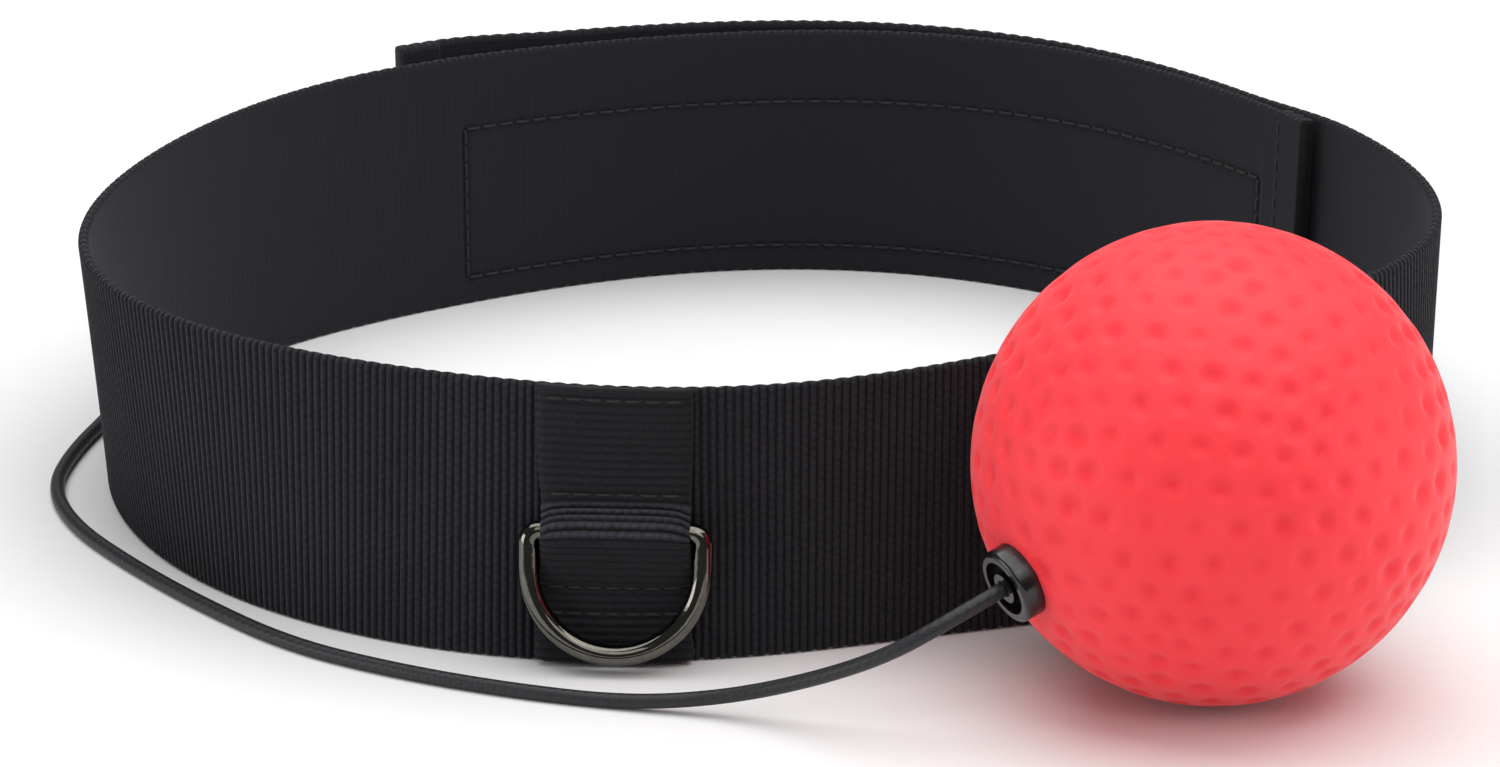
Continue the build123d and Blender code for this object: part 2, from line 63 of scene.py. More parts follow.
# ---- Camera: a long lens, a little above the headband ----
VIEW_TARGET = Vector((0.0005, -0.0275, 0.020))
VIEW_DISTANCE = 1.104
VIEW_PITCH = 18.69
SENSOR = 36.0
LENS = 192.0
NEAR_CLIP = 0.01
FAR_CLIP = 20.0

# ---- Surroundings ----
FLOOR_HALF = 3.0
SKY_COLOUR = (0.95, 0.97, 1.0, 1.0)
SKY_STRENGTH = 0.12
# Name, place, width, height and power of each soft box.
SOFT_BOXES = (
    ("overhead_box", (0.10, 0.14, 1.50), 2.6, 2.1, 43.5),
    ("left_box", (-1.4, -0.45, 0.30), 0.9, 0.5, 6.5),
    ("right_box", (1.4, -0.30, 0.30), 0.9, 0.5, 5.0),
    ("front_box", (0.2, -1.30, 1.20), 1.8, 0.8, 8.0),
)

# ---- Strap, as in the CAD part ----
STRAP_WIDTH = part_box("strap")[1].z
STRAP_THICKNESS = 0.0015
# Distance from the origin to the middle of the webbing, every 30 degrees from +X.
RING_RADII = (
    0.0933, 0.0875, 0.0875, 0.0845, 0.0815, 0.0850, 0.0900, 0.0925, 0.0880, 0.0820, 0.0780, 0.0900,
)
INNER_END = 24.5
OUTER_END = 487.0
LAYER_STEP = 0.0037
STEP_START = 325.0
STEP_END = 384.0
FACE = STRAP_THICKNESS / 2

# ---- Strap, what the soft webbing adds ----
# How much further out the top edge is than the bottom edge, at the same angles.
RING_LEANS = (
    0.0020, 0.0015, 0.0010, -0.0025, 0.0005, 0.0000, 0.0015, 0.0040, -0.0015, 0.0015, -0.0020, -0.0040,
)
OUTER_LIFT = 0.0019
LIFT_START = 385.0
# How far the outer layer's free edges are drawn in, and the share of that by which they curl short.
EDGE_PINCH = 0.0017
EDGE_CURL = 0.15
PINCH_START = 21.5
PINCH_RUN = 14.0
RIB_PITCH = 0.0011
RIB_DEPTH = 0.00026
RIB_SAMPLES = 6
RIB_FULLNESS = 0.8
INSIDE_RIB_DEPTH = 0.00002
SCALLOP = 0.00016
YARN_PITCH = 0.00062
# The weave's materials: how ragged the ribs are, and how deep the dips between their picks.
RAGGED_SCALE = 1300.0
RAGGED_SHARE = 0.4
PICK_LOW = 0.62
# Height of the flat inside weave, as a share of the ribs.
FLAT_SHARE = 0.12
# Share of a rib's pitch at its edge and its top, where its colour is darkest and lightest: painted shade
# darkens the grooves, and the tops are lighter as worn yarn.
RIB_SHADE = (0.1, 0.95)
LINT_SCALE = 5200.0
LINT_COLOUR = (0.07, 0.07, 0.08)
EDGE_ROUND = 0.0007
EDGE_EASE = 0.3
EDGE_ROW_SHARES = (0.3, 0.55, 0.8)
SAME_ANGLE = 0.01
HEM_SPAN = 4.5
HEM_THICKNESS = 0.0010
HEM_SEAM_INSET = 1.0
SEAM_DIP = 0.00032
SEAM_DIP_WIDTH = 0.0012

# ---- Tapes and seams ----
TAPE_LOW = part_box("loop_tape")[0].z
TAPE_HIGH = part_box("loop_tape")[1].z
TAPE_THICKNESS = 0.00105
TAPE_GAP = 0.00003
TAPE_STEP = 0.0006
TAPE_ROWS = 24
NAP_DEPTH = 0.00025
NAP_SCALE = 1500
LOOP_TAPE_START = 30.0
LOOP_TAPE_END = 122.0
HOOK_TAPE_START = 75.0
SEAM_INSET = 0.0012
STITCH_LENGTH = 0.0021
STITCH_PITCH = 0.0027
THREAD_RADIUS = 0.00020
# Height of a stitch's top above the cloth, in thread radii.
STITCH_RISE = 1.35
STITCH_POINTS = 7
STITCH_SIDES = 8
SEAM_STEP = 0.001

# ---- Front tab and D-ring ----
TAB_ANGLE = 258.5
TAB_HEADING = -3.5
TAB_WIDTH = 0.0204
TAB_FOOT_WIDTH = 0.0188
# The soft webbing fills the room between the D-ring's legs.
TAB_NECK_WIDTH = 0.0197
TAB_NECK_RUN = 0.015
TAB_FLARE = 0.0004
TAB_FLARE_RUN = 0.003
TAB_CORNER = 0.0011
TAB_FOOT = 0.0005
TAB_THICKNESS = 0.0013
TAB_FOLD_TOP = 0.0130
TAB_FOLD_THICKNESS = 0.0022
TAB_FOLD_EASE = 0.004
# It leaves the strap this far above its bend, and is pulled straight within this height of the bar.
TAB_BEND_RUN = 0.0012
TAB_STRAIGHT = 0.004
TAB_STRAIGHT_EASE = 0.005
# Its front face slopes back from this share of its half width.
TAB_EDGE_START = 0.88
TAB_EDGE_RUN = 0.2
TAB_SEAM_HEIGHTS = (0.0076, 0.0113, 0.0239, 0.0369)
TAB_RIB_DEPTH = 0.00010
# Where it is bent round the bar, its ribs gape.
BULGE_RIB_DEPTH = 0.00045
BULGE_MIDDLE = 0.0209
BULGE_REACH = 0.0014
TAB_COLUMNS = 17
TAB_FINESSE = 12
TAB_STEP = RIB_PITCH / RIB_SAMPLES
# The tab bends down beside the D-ring's corners, where nothing holds its edges up.
TAB_DROOP = 0.0008
RING_WIRE = 0.0028
RING_HALF_WIDTH = 0.01145
RING_DROP = 0.0164
RING_CORNER = 0.0016
RING_STEP = 0.0004
RING_SIDES = 32
BAR_HEIGHT = 0.0190
BAR_CLEARANCE = 0.00012
THREAD_PROUD = 0.0002

# ---- Ball and plug ----
BALL_RADIUS = 0.0315
BALL_MIDDLE = Vector((0.0606, -0.09385, BALL_RADIUS))
PLUG_HEADING = -149.6
PLUG_DIP = 19.6
PLUG_SEAT = 0.03105
FLANGE_RADIUS = 0.0051
FLANGE_THICKNESS = 0.00285
DIMPLE_RINGS = 7
DIMPLE_RADIUS = 0.0022
DIMPLE_DEPTH = 0.00050
# Seed of the dimples' shifts, which would otherwise follow the clock.
DIMPLE_SEED = 1
DIMPLE_SHIFT = 0.0006
DIMPLE_SHIFT_SCALE = 9
DIMPLE_UNEVEN = 0.65
DIMPLE_UNEVEN_SCALE = 230
DIMPLE_SPREAD = 0.4
BALL_FINENESS = 8

# ---- Cord ----
CORD_DIAMETER = 0.0020
CORD_RADIUS = CORD_DIAMETER / 2
# From the plug, down to the surface, and round the -X side of the strap to the coil.
CORD_ROUTE = (
    (0.0266, -0.1138, 0.0175),
    (0.0184, -0.1136, 0.0124),
    (0.0085, -0.1082, 0.0069),
    (-0.0030, -0.1033, 0.0026),
    (-0.0155, -0.1010, 0.0010),
    (-0.0300, -0.0966, 0.0010),
    (-0.0455, -0.0894, 0.0010),
    (-0.0605, -0.0794, 0.0010),
    (-0.0736, -0.0634, 0.0010),
    (-0.0846, -0.0473, 0.0010),
    (-0.0930, -0.0324, 0.0010),
    (-0.0972, -0.0170, 0.0010),
    (-0.0956, -0.0015, 0.0010),
    (-0.0916, 0.0140, 0.0010),
    (-0.0880, 0.0310, 0.0010),
    (-0.0795, 0.0505, 0.0010),
    (-0.0660, 0.0690, 0.0010),
    (-0.0495, 0.0830, 0.0010),
    (-0.0339, 0.0909, 0.0012),
)
COIL_MIDDLE = Vector((-0.0240, 0.1080, 0.0))
COIL_OUTER_TURN = 0.0140
COIL_INNER_TURN = 0.0077
COIL_LOW = 0.0004
COIL_START = -75.0
COIL_LEAVE = -60.0
COIL_TURNS = 6
COIL_POINTS = 16
COIL_CLIMB = 0.24
TAIL_ROUTE = (
    (-0.0092, 0.1006, 0.0033),
    (0.0005, 0.1038, 0.0029),
    (0.0150, 0.1040, 0.0029),
)
# Steps of the cord's spline between two control points.
CORD_FINESSE = 16
CORD_STEP = 0.0004
CORD_SIDES = 20
STRANDS = 8

# ---- Tie and hook ----
TIE_ANGLE = 60.0
TIE_WIDTH = 0.0032
TIE_THICKNESS = 0.00032
TIE_RIDGE = 0.00016
TIE_RIDGE_REACH = 0.12
TWIST_WIDTH = 0.0015
TWIST_OFFSET = 0.00045
TWIST_SWEEP = 55.0
TWIST_TURNS = 2.5
TWIST_POINTS = 40
FERRULE_RIM = 0.0003
FERRULE_MOUTH = 0.0013
CRIMP_DEPTH = 0.24
CRIMP_REACH = 0.17
CRIMP_PLACES = (0.3, 0.7)
FERRULE_ROWS = 24
FERRULE_SIDES = 36
LOOP_CORD_RADIUS = 0.00085
LOOP_TUCK = 0.0008
SPRING_WIRE_RADIUS = 0.00007
SPRING_TURNS = 2
SPRING_LEG = 0.0007
SPRING_POINTS = 24
SPRING_SIDES = 10


# ======== Shapes ========

class Shape:
    """Points and faces of one piece, with each face corner's place in its weave."""

    def __init__(self):
        self.points = []
        self.faces = []
        self.corners = []

    def add_skin(self, loops, along, across, joined=False):
        """Skin over a row of closed loops, capped at both ends unless the last loop joins the first."""
        first = len(self.points)
        count = len(loops[0])
        for loop in loops:
            self.points.extend(loop)
        for span in range(len(loops) if joined else len(loops) - 1):
            here = first + span * count
            there = first + (span + 1) % len(loops) * count
            for side in range(count):
                after = (side + 1) % count
                self.faces.append((here + side, there + side, there + after, here + after))
                self.corners.append((along[span], across[side]))
                self.corners.append((along[span + 1], across[side]))
                self.corners.append((along[span + 1], across[side + 1]))
                self.corners.append((along[span], across[side + 1]))
        if not joined:
            last = first + (len(loops) - 1) * count
            self.add_cap(range(first, first + count), along[0], across)
            self.add_cap(range(last + count - 1, last - 1, -1), along[-1], across)

    def add_cap(self, corners, along, across):
        """Flat face that closes the end of a skin."""
        self.faces.append(tuple(corners))
        self.corners.extend((along, across[index]) for index in range(len(corners)))

    def piece(self, name, body, slot, material, replaced=()):
        """Blender object of the shape, riding on a body and standing for CAD nodes."""
        mesh = bpy.data.meshes.new(name)
        mesh.from_pydata(self.points, [], self.faces)
        weave = mesh.uv_layers.new(name="weave")
        for index, corner in enumerate(self.corners):
            weave.data[index].uv = corner
        return finished(mesh, name, body, material, replaced)


def finished(mesh, name, body, material, replaced=()):
    """Smooth object of a closed mesh facing outwards, with its material and body."""
    form = bmesh.new()
    form.from_mesh(mesh)
    bmesh.ops.recalc_face_normals(form, faces=form.faces)
    form.to_mesh(mesh)
    form.free()
    mesh.polygons.foreach_set("use_smooth", [True] * len(mesh.polygons))
    mesh.validate()
    mesh.materials.append(material)
    piece = bpy.data.objects.new(name, mesh)
    bpy.context.scene.collection.objects.link(piece)
    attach(piece, body)
    if replaced:
        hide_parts(*replaced)
    return piece


def smooth_step(value):
    """0 below 0, 1 above 1, and an easy change between."""
    share = min(max(value, 0.0), 1.0)
    return share * share * (3 - 2 * share)


def heading(angle):
    """Level direction at an angle from +X."""
    return Vector((cos(radians(angle)), sin(radians(angle)), 0))


def evenly_spaced(points, step):
    """Points every step along a line of points, and the last point."""
    spaced = [points[0]]
    needed = step
    for start, end in zip(points, points[1:]):
        run = (end - start).length
        while needed <= run:
            spaced.append(start.lerp(end, needed / run))
            needed += step
        needed -= run
    spaced.append(points[-1])
    return spaced


def smooth_line(route, finesse, step):
    """Spline along a route of control points, read as points a step apart."""
    curve = bpy.data.curves.new("smooth_line", "CURVE")
    curve.dimensions = "3D"
    curve.resolution_u = finesse
    spline = curve.splines.new("NURBS")
    spline.points.add(len(route) - 1)
    for control, point in zip(spline.points, route):
        control.co = (*point, 1.0)
    spline.order_u = 3
    spline.use_endpoint_u = True
    holder = bpy.data.objects.new("smooth_line", curve)
    mesh = bpy.data.meshes.new_from_object(holder)
    points = [vertex.co.copy() for vertex in mesh.vertices]
    bpy.data.objects.remove(holder)
    return evenly_spaced(points, step)


def running_lengths(points):
    """Distance of each point along the line that joins them."""
    lengths = [0.0]
    for start, end in zip(points, points[1:]):
        lengths.append(lengths[-1] + (end - start).length)
    return lengths


def tube_loops(points, radius, sides, across, joined):
    """Round loops square to a line of points, turned as little as possible from one to the next."""
    loops = []
    last = len(points) - 1
    for index, point in enumerate(points):
        before = points[index - 1] if index or joined else point
        after = points[(index + 1) % len(points)] if index < last or joined else point
        along = (after - before).normalized()
        across = (across - along * across.dot(along)).normalized()
        beside = along.cross(across)
        loop = []
        for side in range(sides):
            turn = 2 * pi * side / sides
            loop.append(point + radius * (across * cos(turn) + beside * sin(turn)))
        loops.append(loop)
    return loops


def add_tube(shape, points, radius, sides, across, joined=False):
    """Round tube along a line of points, with its weave running along it."""
    loops = tube_loops(points, radius, sides, across, joined)
    along = running_lengths(points + points[:1] if joined else points)
    around = [2 * pi * radius * side / sides for side in range(sides + 1)]
    shape.add_skin(loops, along, around, joined)


def tube(points, radius, sides, across, joined=False):
    """Shape of one tube."""
    shape = Shape()
    add_tube(shape, points, radius, sides, across, joined)
    return shape


# ======== Strap curve ========

def blend_weight(value, samples):
    """Share of one evenly spaced sample at an angle away from it, in a smooth closed curve."""
    half = (value + pi) % (2 * pi) - pi
    if abs(half) < 1e-9:
        return 1.0
    return sin(samples * half / 2) / tan(half / 2) / samples


def round_curve(values, angle):
    """Smooth closed curve through evenly spaced values."""
    count = len(values)
    total = 0.0
    for index, value in enumerate(values):
        total += value * blend_weight(radians(angle) - 2 * pi * index / count, count)
    return total


def layer_offset(angle):
    """How far the webbing has moved out of the first layer, to lie over the tapes."""
    return LAYER_STEP * smooth_step((angle - STEP_START) / (STEP_END - STEP_START))


def edge_pinch(angle):
    """How far the outer layer's free edges are drawn in towards the first layer, past the tapes."""
    started = smooth_step((angle - 360 - PINCH_START) / PINCH_RUN)
    left = smooth_step((OUTER_END - HEM_SPAN - angle) / PINCH_RUN)
    return EDGE_PINCH * started * left


def strap_column(angle):
    """Plan direction, radius, lean, lift and edge pinch of the webbing at an angle."""
    direction = heading(angle)
    radius = round_curve(RING_RADII, angle) + layer_offset(angle)
    lean = round_curve(RING_LEANS, angle)
    lift = OUTER_LIFT * smooth_step((angle - LIFT_START) / (OUTER_END - LIFT_START))
    return direction, radius, lean, lift, edge_pinch(angle)


def on_column(column, offset, height):
    """Point at an offset out from the middle of the webbing, and a height up it."""
    direction, radius, lean, lift, pinch = column
    above = smooth_step((height - TAPE_HIGH) / TAPE_LOW)
    below = smooth_step((TAPE_LOW - height) / TAPE_LOW)
    out = radius + offset + lean * (height / STRAP_WIDTH - 0.5) - pinch * (above + below)
    return direction * out + UP * (height + lift - EDGE_CURL * pinch * (above - below))


def strap_point(angle, offset, height):
    """The same, from an angle."""
    return on_column(strap_column(angle), offset, height)


def strap_angles(start, end, step):
    """Angles a step apart along the webbing."""
    angles = [start]
    while angles[-1] < end - SAME_ANGLE:
        here = angles[-1]
        middle = STRAP_WIDTH / 2
        degree = (strap_point(here + 1, 0, middle) - strap_point(here, 0, middle)).length
        angles.append(min(here + step / degree, end))
    return angles


# ======== Materials ========

class Look:
    """A Principled material, with short ways to add and join nodes."""

    def __init__(self, name, **settings):
        self.material = bpy.data.materials.new(name)
        self.material.use_nodes = True
        self.tree = self.material.node_tree
        self.shader = self.tree.nodes["Principled BSDF"]
        for socket, value in settings.items():
            self.shader.inputs[socket.replace("_", " ")].default_value = value

    def node(self, kind, inputs, **properties):
        """Node with its properties, and with values or other nodes' outputs on its inputs."""
        node = self.tree.nodes.new(kind)
        for name, value in properties.items():
            setattr(node, name, value)
        for socket, value in inputs.items():
            if isinstance(value, bpy.types.NodeSocket):
                self.tree.links.new(value, node.inputs[socket])
            else:
                node.inputs[socket].default_value = value
        return node

    def math(self, operation, first, second=0.0):
        """Result of one sum."""
        return self.node("ShaderNodeMath", {0: first, 1: second}, operation=operation).outputs[0]

    def place(self):
        """Position in the piece, in metres."""
        return self.node("ShaderNodeTexCoord", {}).outputs["Object"]

    def weave(self):
        """Distance along the weave and across it, in metres."""
        place = self.node("ShaderNodeUVMap", {}, uv_map="weave").outputs["UV"]
        parts = self.node("ShaderNodeSeparateXYZ", {0: place})
        return parts.outputs["X"], parts.outputs["Y"]

    def joined(self, x, y, z=0.0):
        """Vector from three values."""
        return self.node("ShaderNodeCombineXYZ", {0: x, 1: y, 2: z}).outputs[0]

    def noise(self, vector, scale, detail=3.0, roughness=0.5):
        """Smooth noise from 0 to 1."""
        inputs = {"Vector": vector, "Scale": scale, "Detail": detail, "Roughness": roughness}
        return self.node("ShaderNodeTexNoise", inputs).outputs["Fac"]

    def hump(self, value):
        """0 at whole numbers and 1 halfway between."""
        return self.math("ABSOLUTE", self.math("SINE", self.math("MULTIPLY", value, pi)))

    def remap(self, value, low, high, to_low=0.0, to_high=1.0):
        """Value from one range to another, held at its ends."""
        inputs = {"Value": value, "From Min": low, "From Max": high, "To Min": to_low, "To Max": to_high}
        return self.node("ShaderNodeMapRange", inputs).outputs["Result"]

    def mix(self, share, first, second):
        """Colour between two colours."""
        node = self.node("ShaderNodeMix", {"Factor": share}, data_type="RGBA")
        for socket, value in (("A_Color", first), ("B_Color", second)):
            target = next(item for item in node.inputs if item.identifier == socket)
            if isinstance(value, bpy.types.NodeSocket):
                self.tree.links.new(value, target)
            else:
                target.default_value = (*value, 1.0)
        return next(item for item in node.outputs if item.identifier == "Result_Color")

    def colour(self, value):
        """Colours the surface."""
        self.tree.links.new(value, self.shader.inputs["Base Color"])

    def roughness(self, value):
        """Sets how matte the surface is."""
        self.tree.links.new(value, self.shader.inputs["Roughness"])

    def bump(self, height, distance, strength=1.0):
        """Raises the surface by a height from 0 to 1 times a distance in metres."""
        inputs = {"Height": height, "Distance": distance, "Strength": strength}
        node = self.node("ShaderNodeBump", inputs)
        self.tree.links.new(node.outputs["Normal"], self.shader.inputs["Normal"])


def webbing_look(name, depth, light, dark, inner, painted_light_band=None):
    """Black webbing: ribs with ragged edges outside and flat inside, with painted shade in the rib grooves;
    between two heights the rib tops get painted highlight and the grooves deeper painted shade.
    """
    look = Look(name, Roughness=0.8, Sheen_Weight=0.05, Sheen_Roughness=0.5)
    look.shader.inputs["Specular IOR Level"].default_value = 0.2
    along, up = look.weave()
    inside = look.math("LESS_THAN", up, 0.0)
    outside = look.math("SUBTRACT", 1.0, inside)
    ragged = look.math("SUBTRACT", look.noise(look.joined(along, up), RAGGED_SCALE, 2.0), 0.5)
    shifted = look.math("MULTIPLY", ragged, RAGGED_SHARE)
    rib = look.math("ADD", look.math("DIVIDE", along, RIB_PITCH), shifted)
    rib_shape = look.hump(rib)
    odd = look.math("MODULO", look.math("FLOOR", rib), 2.0)
    row = look.math("ADD", look.math("DIVIDE", up, 2 * YARN_PITCH), look.math("MULTIPLY", odd, 0.5))
    pick = look.hump(look.math("ADD", row, ragged))
    ribbed = look.math("MULTIPLY", rib_shape, look.remap(pick, 0.0, 1.0, PICK_LOW, 1.0))
    fine_along = look.hump(look.math("DIVIDE", along, RIB_PITCH / 2))
    fine_up = look.hump(look.math("DIVIDE", up, YARN_PITCH))
    flat = look.math("MULTIPLY", look.math("MULTIPLY", fine_along, fine_up), FLAT_SHARE)
    height = look.math("ADD", look.math("MULTIPLY", ribbed, outside), look.math("MULTIPLY", flat, inside))
    look.bump(height, depth)
    shade = look.remap(look.noise(look.place(), 60.0), 0.3, 0.7, 0.8, 1.0)
    # Rib tops lighter as worn yarn, and grooves darker with painted shade.
    groove_shade_and_wear = look.math("MULTIPLY", look.remap(ribbed, *RIB_SHADE), shade)
    # Between two heights, painted highlight on the rib tops and deeper painted shade in the grooves.
    if painted_light_band:
        level = look.node("ShaderNodeSeparateXYZ", {0: look.place()}).outputs["Z"]
        above = look.remap(level, painted_light_band[0] - RIB_PITCH, painted_light_band[0])
        painted_light_share = look.math("MULTIPLY", above, look.remap(level, painted_light_band[1], painted_light_band[1] + RIB_PITCH, 1.0, 0.0))
        light = look.mix(painted_light_share, light, tuple(3.4 * part for part in light))
        dark = look.mix(painted_light_share, dark, tuple(0.2 * part for part in dark))
    # The flat inside weave is darker in its dips: painted shade.
    woven = look.mix(look.remap(flat, 0.0, FLAT_SHARE), tuple(0.8 * part for part in inner), inner)
    face = look.mix(inside, look.mix(groove_shade_and_wear, dark, light), woven)
    lint = look.remap(look.noise(look.place(), LINT_SCALE, 1.0), 0.66, 0.85, 0.0, 0.25)
    look.colour(look.mix(lint, face, LINT_COLOUR))
    return look.material


def strap_look():
    """The strap's webbing."""
    return webbing_look(
        "strap_webbing", 0.00020, light=(0.0174, 0.0184, 0.0245), dark=(0.0011, 0.0011, 0.0018),
        inner=(0.0132, 0.0138, 0.0184),
    )


def tab_look():
    """The tab's webbing, a narrower and smoother weave."""
    return webbing_look(
        "tab_webbing", 0.00016, light=(0.0108, 0.0112, 0.0145), dark=(0.0043, 0.0045, 0.0060),
        inner=(0.0108, 0.0112, 0.0145),
        # Painted highlight on the rib tops and painted shade in the grooves where the tab goes round the
        # bar.
        painted_light_band=(BULGE_MIDDLE - BULGE_REACH, BULGE_MIDDLE + BULGE_REACH),
    )


def thread_look():
    """Twisted black sewing thread."""
    look = Look("sewing_thread", Roughness=0.6, Sheen_Weight=0.05)
    along, around = look.weave()
    twist = look.math("ADD", look.math("DIVIDE", along, 0.0005), look.math("DIVIDE", around, 0.00045))
    strand = look.hump(twist)
    look.bump(strand, 0.00006)
    # Darker between the twisted plies: painted shade.
    look.colour(look.mix(strand, (0.002, 0.002, 0.003), (0.0080, 0.0083, 0.0105)))
    return look.material


def grained_look(name, grain, span, colours, depth, finish=None, **settings):
    """Material of one grain: colours and finish change with it over a span, and it is raised by a depth."""
    look = Look(name, **settings)
    height = look.noise(look.place(), *grain)
    look.colour(look.mix(look.remap(height, *span), *colours))
    if finish:
        look.roughness(look.remap(height, *span, *finish))
    look.bump(height, depth)
    return look.material


def nap_look(name, scale, light):
    """Napped nylon of the hook and loop tapes."""
    colours = ((0.004, 0.004, 0.005), light)
    settings = {"Roughness": 0.9, "Sheen_Weight": 0.3, "Sheen_Roughness": 0.6}
    return grained_look(name, (scale, 4.0, 0.7), (0.35, 0.7), colours, 0.0003, **settings)


def black_nickel_look():
    """Bright black nickel plate with fine handling scratches."""
    look = Look("black_nickel", Metallic=1.0, Roughness=0.12)
    place = look.place()
    wear = look.noise(place, 900.0, 4.0, 0.6)
    look.colour(look.mix(look.remap(wear, 0.35, 0.75), (0.105, 0.101, 0.088), (0.145, 0.139, 0.122)))
    look.roughness(look.remap(look.noise(place, 2600.0, 2.0), 0.3, 0.8, 0.06, 0.13))
    look.bump(look.noise(place, 1500.0, 2.0), 0.00001)
    return look.material


def cast_metal_look():
    """Black nickel on die-cast zinc, duller and a little pitted."""
    colours = ((0.07, 0.068, 0.065), (0.15, 0.145, 0.14))
    finish = (0.24, 0.42)
    grain = (2200.0, 3.0, 0.6)
    return grained_look("cast_black_nickel", grain, (0.3, 0.7), colours, 0.00004, finish, Metallic=1.0)


def steel_look(name, colour, roughness):
    """Drawn or crimped steel with fine lines."""
    colours = (tuple(0.6 * part for part in colour), colour)
    settings = {"Metallic": 1.0, "Roughness": roughness}
    return grained_look(name, (3000.0, 3.0, 0.7), (0.3, 0.7), colours, 0.00002, **settings)


def ball_look():
    """Satin skin of moulded foam, deeper red in the dimples from painted shade, and a little paler where it
    is rubbed.
    """
    look = Look("ball_foam", Roughness=0.55, Sheen_Weight=0.22, Sheen_Roughness=0.4)
    look.shader.inputs["Specular IOR Level"].default_value = 0.3
    look.shader.inputs["Sheen Tint"].default_value = (1.0, 0.62, 0.62, 1.0)
    place = look.place()
    cloud = look.noise(place, 70.0, 4.0, 0.55)
    speck = look.noise(place, 2400.0, 2.0)
    dent = look.node("ShaderNodeAttribute", {}, attribute_name="dent").outputs["Fac"]
    skin = look.mix(look.remap(cloud, 0.3, 0.7), (0.90, 0.034, 0.046), (0.93, 0.048, 0.060))
    # Deeper red in the dimples: painted shade.
    skin = look.mix(look.math("MULTIPLY", dent, 0.42), skin, (0.78, 0.014, 0.028))
    look.colour(look.mix(look.remap(speck, 0.62, 0.85, 0.0, 0.12), skin, (0.98, 0.25, 0.26)))
    look.roughness(look.remap(cloud, 0.3, 0.7, 0.48, 0.62))
    look.bump(look.noise(place, 1800.0, 3.0, 0.6), 0.00005)
    return look.material


def plug_look():
    """Glossy black moulded plastic with faint flow marks."""
    colours = ((0.003, 0.003, 0.004), (0.008, 0.008, 0.009))
    finish = (0.14, 0.3)
    return grained_look("plug_plastic", (450.0,), (0.3, 0.7), colours, 0.00003, finish, Coat_Weight=0.1)


def braid_look():
    """Round black braid: strands that cross over and under on both slants."""
    look = Look("cord_braid", Roughness=0.5, Sheen_Weight=0.04, Sheen_Roughness=0.4)
    along, around = look.weave()
    cell = 2 * pi * CORD_RADIUS / STRANDS
    left = look.math("DIVIDE", look.math("ADD", around, along), cell)
    right = look.math("DIVIDE", look.math("SUBTRACT", around, along), cell)
    over = look.hump(look.math("MULTIPLY", left, 0.5))
    under = look.hump(look.math("MULTIPLY", right, 0.5))
    height = look.math("MAXIMUM", over, look.math("SUBTRACT", 1.0, under))
    look.bump(height, 0.00005)
    fleck = look.noise(look.joined(left, right), 1.3, 2.0)
    # Darker where the strands dip under each other: painted shade.
    base = look.mix(height, (0.002, 0.002, 0.0035), (0.0070, 0.0072, 0.0105))
    look.colour(look.mix(look.remap(fleck, 0.5, 0.9, 0.0, 0.4), base, (0.014, 0.0145, 0.020)))
    return look.material


def tie_look():
    """Black soft plastic of the coil's tie."""
    colours = ((0.012, 0.012, 0.013), (0.030, 0.030, 0.032))
    return grained_look("tie_plastic", (1500.0,), (0.3, 0.7), colours, 0.00005, Roughness=0.5)


# ======== Camera, light and floor ========

def camera():
    """Long lens looking down at the front of the headband."""
    pitch = radians(VIEW_PITCH)
    data = bpy.data.cameras.new("camera")
    data.lens = LENS
    data.sensor_width = SENSOR
    data.clip_start = NEAR_CLIP
    data.clip_end = FAR_CLIP
    taker = bpy.data.objects.new("camera", data)
    taker.location = VIEW_TARGET + VIEW_DISTANCE * Vector((0, -cos(pitch), sin(pitch)))
    taker.rotation_euler = (pi / 2 - pitch, 0, 0)
    bpy.context.scene.collection.objects.link(taker)
    bpy.context.scene.camera = taker


def area_light(name, place, width, height, power):
    """Soft box that faces the headband."""
    data = bpy.data.lights.new(name, "AREA")
    data.shape = "RECTANGLE"
    data.size = width
    data.size_y = height
    data.energy = power
    lamp = bpy.data.objects.new(name, data)
    lamp.location = place
    lamp.rotation_euler = (VIEW_TARGET - Vector(place)).to_track_quat("-Z", "Y").to_euler()
    bpy.context.scene.collection.objects.link(lamp)


def lights():
    """A large box overhead, low ones at the sides, a weak one in front, and dim surroundings."""
    for soft_box in SOFT_BOXES:
        area_light(*soft_box)
    world = bpy.data.worlds.new("surroundings")
    world.use_nodes = True
    sky = world.node_tree.nodes["Background"]
    sky.inputs["Color"].default_value = SKY_COLOUR
    sky.inputs["Strength"].default_value = SKY_STRENGTH
    bpy.context.scene.world = world


def studio_floor():
    """Pale matte floor, with a faint grain."""
    half = FLOOR_HALF
    mesh = bpy.data.meshes.new("studio_floor")
    corners = [(-half, -half, 0), (half, -half, 0), (half, half, 0), (-half, half, 0)]
    mesh.from_pydata(corners, [], [(0, 1, 2, 3)])
    look = Look("studio_floor", Roughness=0.6)
    grain = look.noise(look.place(), 300.0)
    look.colour(look.mix(grain, (0.80, 0.80, 0.80), (0.82, 0.82, 0.82)))
    mesh.materials.append(look.material)
    floor = bpy.data.objects.new("studio_floor", mesh)
    floor.location.z = min(cad_box[0].z, 0.0)
    bpy.context.scene.collection.objects.link(floor)


# ======== Cord ========

def plug_axes():
    """Direction out of the plug, and two directions across it."""
    dip = radians(PLUG_DIP)
    out = heading(PLUG_HEADING) * cos(dip) - UP * sin(dip)
    level = out.cross(UP).normalized()
    return out, level, level.cross(out)


def cord_exit():
    """Where the cord leaves the plug's hub."""
    return BALL_MIDDLE + plug_axes()[0] * (PLUG_SEAT + FLANGE_THICKNESS)


